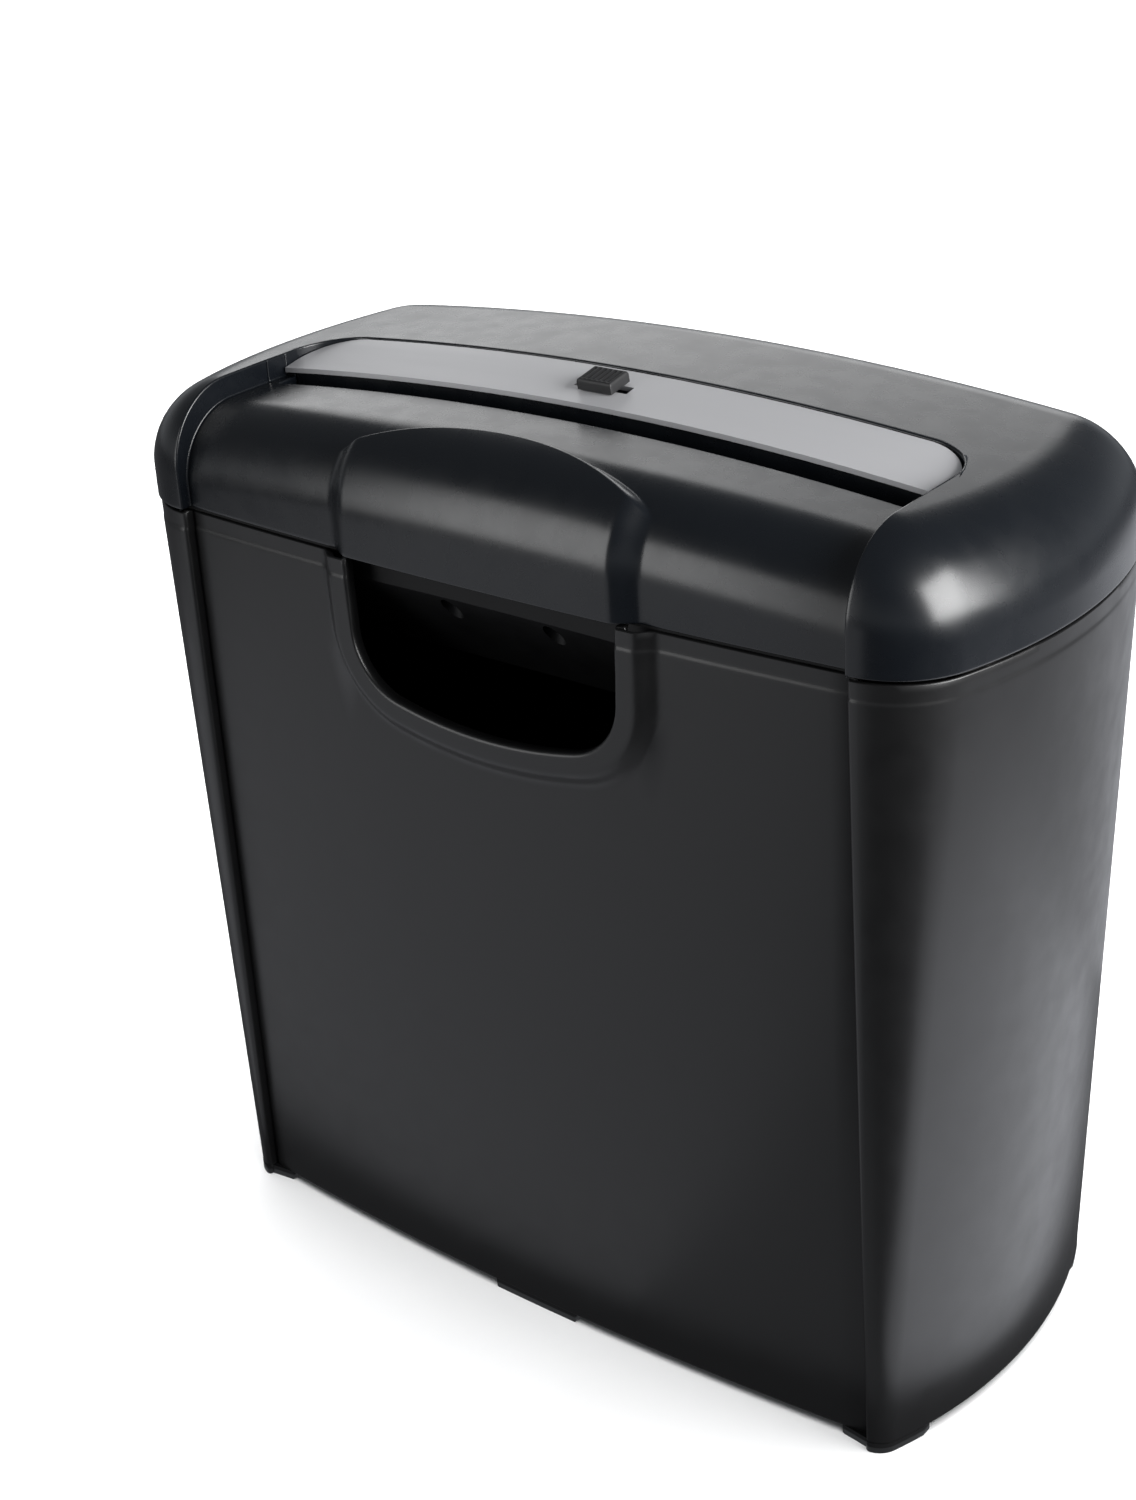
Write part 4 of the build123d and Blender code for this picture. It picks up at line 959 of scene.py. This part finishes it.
sky_colour = (0.91, 0.95, 1.0, 1)
horizon_light, upper_light, haze_top = 0.5, 0.17, 0.4
world = bpy.data.worlds.new("studio")
bpy.context.scene.world = world
world.use_nodes = True
tree = world.node_tree
sky = tree.nodes["Background"]
sky.inputs["Color"].default_value = sky_colour
direction = add_node(tree, "TexCoord")
upward = add_node(tree, "SeparateXYZ")
tree.links.new(direction.outputs["Generated"], upward.inputs["Vector"])
haze = add_node(tree, "MapRange", From_Min=0.0, From_Max=haze_top, To_Min=horizon_light, To_Max=upper_light)
haze.interpolation_type = "SMOOTHSTEP"
tree.links.new(upward.outputs["Z"], haze.inputs["Value"])
tree.links.new(haze.outputs["Result"], sky.inputs["Strength"])
print("floor", 2 * floor_half, "m wide, sky from", horizon_light, "to", upper_light)

# %% [markdown]
# Three softboxes stand round the object: one on the right gives the head its bright patch,
# one in front on the left draws the light band along the head, and one behind silvers the
# top. A wide sun whitens the floor and leaves a soft shadow. The same lamps could light
# everything, but light linking keeps the boxes off the floor and the sun off the plastic, so
# that each can be set on its own.

# %% The lamps


def light_only(lamp, things):
    """Let a lamp light nothing but the things in a list, and keep it out of sight."""
    group = bpy.data.collections.new(lamp.name + "_lights")
    for thing in things:
        group.objects.link(thing)
    lamp.light_linking.receiver_collection = group
    lamp.visible_camera = False


def aim(lamp, place, target):
    """Put a lamp in the scene and turn it to a point."""
    bpy.context.scene.collection.objects.link(lamp)
    lamp.location = place
    lamp.rotation_euler = (Vector(target) - Vector(place)).to_track_quat("-Z", "Y").to_euler()


def softbox(name, place, target, size, power):
    """A large soft lamp that lights the object."""
    data = bpy.data.lights.new(name, "AREA")
    data.shape = "RECTANGLE"
    data.size, data.size_y = size
    data.energy = power
    lamp = bpy.data.objects.new(name, data)
    aim(lamp, place, target)
    light_only(lamp, list(nodes.values()) + new_pieces)
    print(name, "gives", power, "W")


softbox("right_box", (1.06, 0.02, 0.65), (0.14, -0.05, 0.27), (0.82, 0.72), 40)
softbox("left_box", (-0.65, -1.13, 0.5), (0, -0.07, 0.26), (0.6, 0.9), 8.5)
softbox("back_box", (-0.73, 1.12, 0.71), (0, 0, 0.29), (1.1, 0.6), 3.6)
sun_data = bpy.data.lights.new("floor_sun", "SUN")
sun_data.energy = 7.0
sun_data.angle = math.radians(95)
sun = bpy.data.objects.new("floor_sun", sun_data)
aim(sun, (0.3, 0.35, 1.4), (0, 0, 0))
light_only(sun, [floor])

# %% [markdown]
# The floor itself is so bright that the plastic would mirror it as plain white. So what the
# plastic mirrors is set with cards that lie there instead, as a photographer would lay out
# black and grey ones: one dim card under everything, a grey one before the left half of the
# front, a dark one before the right half, so that the corner towards the camera stays deep,
# and bright ones on the right and behind. Only mirrored rays meet them.

# %% The cards


def mirror_card(name, low, high, level, lift=0.004):
    """A card on the floor that shows in reflections only."""
    card_finish = finish(name + "_paper", (grey(0.01), grey(0.02)), (0.8, 0.9), shine=0.0, glow=level)
    card = level_rectangle(name, low, high, lift, card_finish)
    card.visible_camera = False
    card.visible_diffuse = False
    card.visible_shadow = False
    print(name, "glows at", level)


mirror_card("card_under", (-6, -6), (6, 6), 0.12, 0.002)
mirror_card("card_front", (0.03, -1.2), (1.2, -0.25), 0.05)
mirror_card("card_near", (0.03, -0.25), (0.14, -0.08), 0.4)
mirror_card("card_grey", (-0.62, -1.2), (0.03, -0.08), 0.72)
mirror_card("card_left", (-2.0, -2.0), (-0.62, 0.6), 0.12)
mirror_card("card_right", (0.15, -0.1), (0.46, 0.22), 1.87)
mirror_card("card_far_right", (0.46, 0.1), (2.0, 2.0), 0.36)
mirror_card("card_back", (-0.4, 0.22), (0.46, 1.2), 1.0)
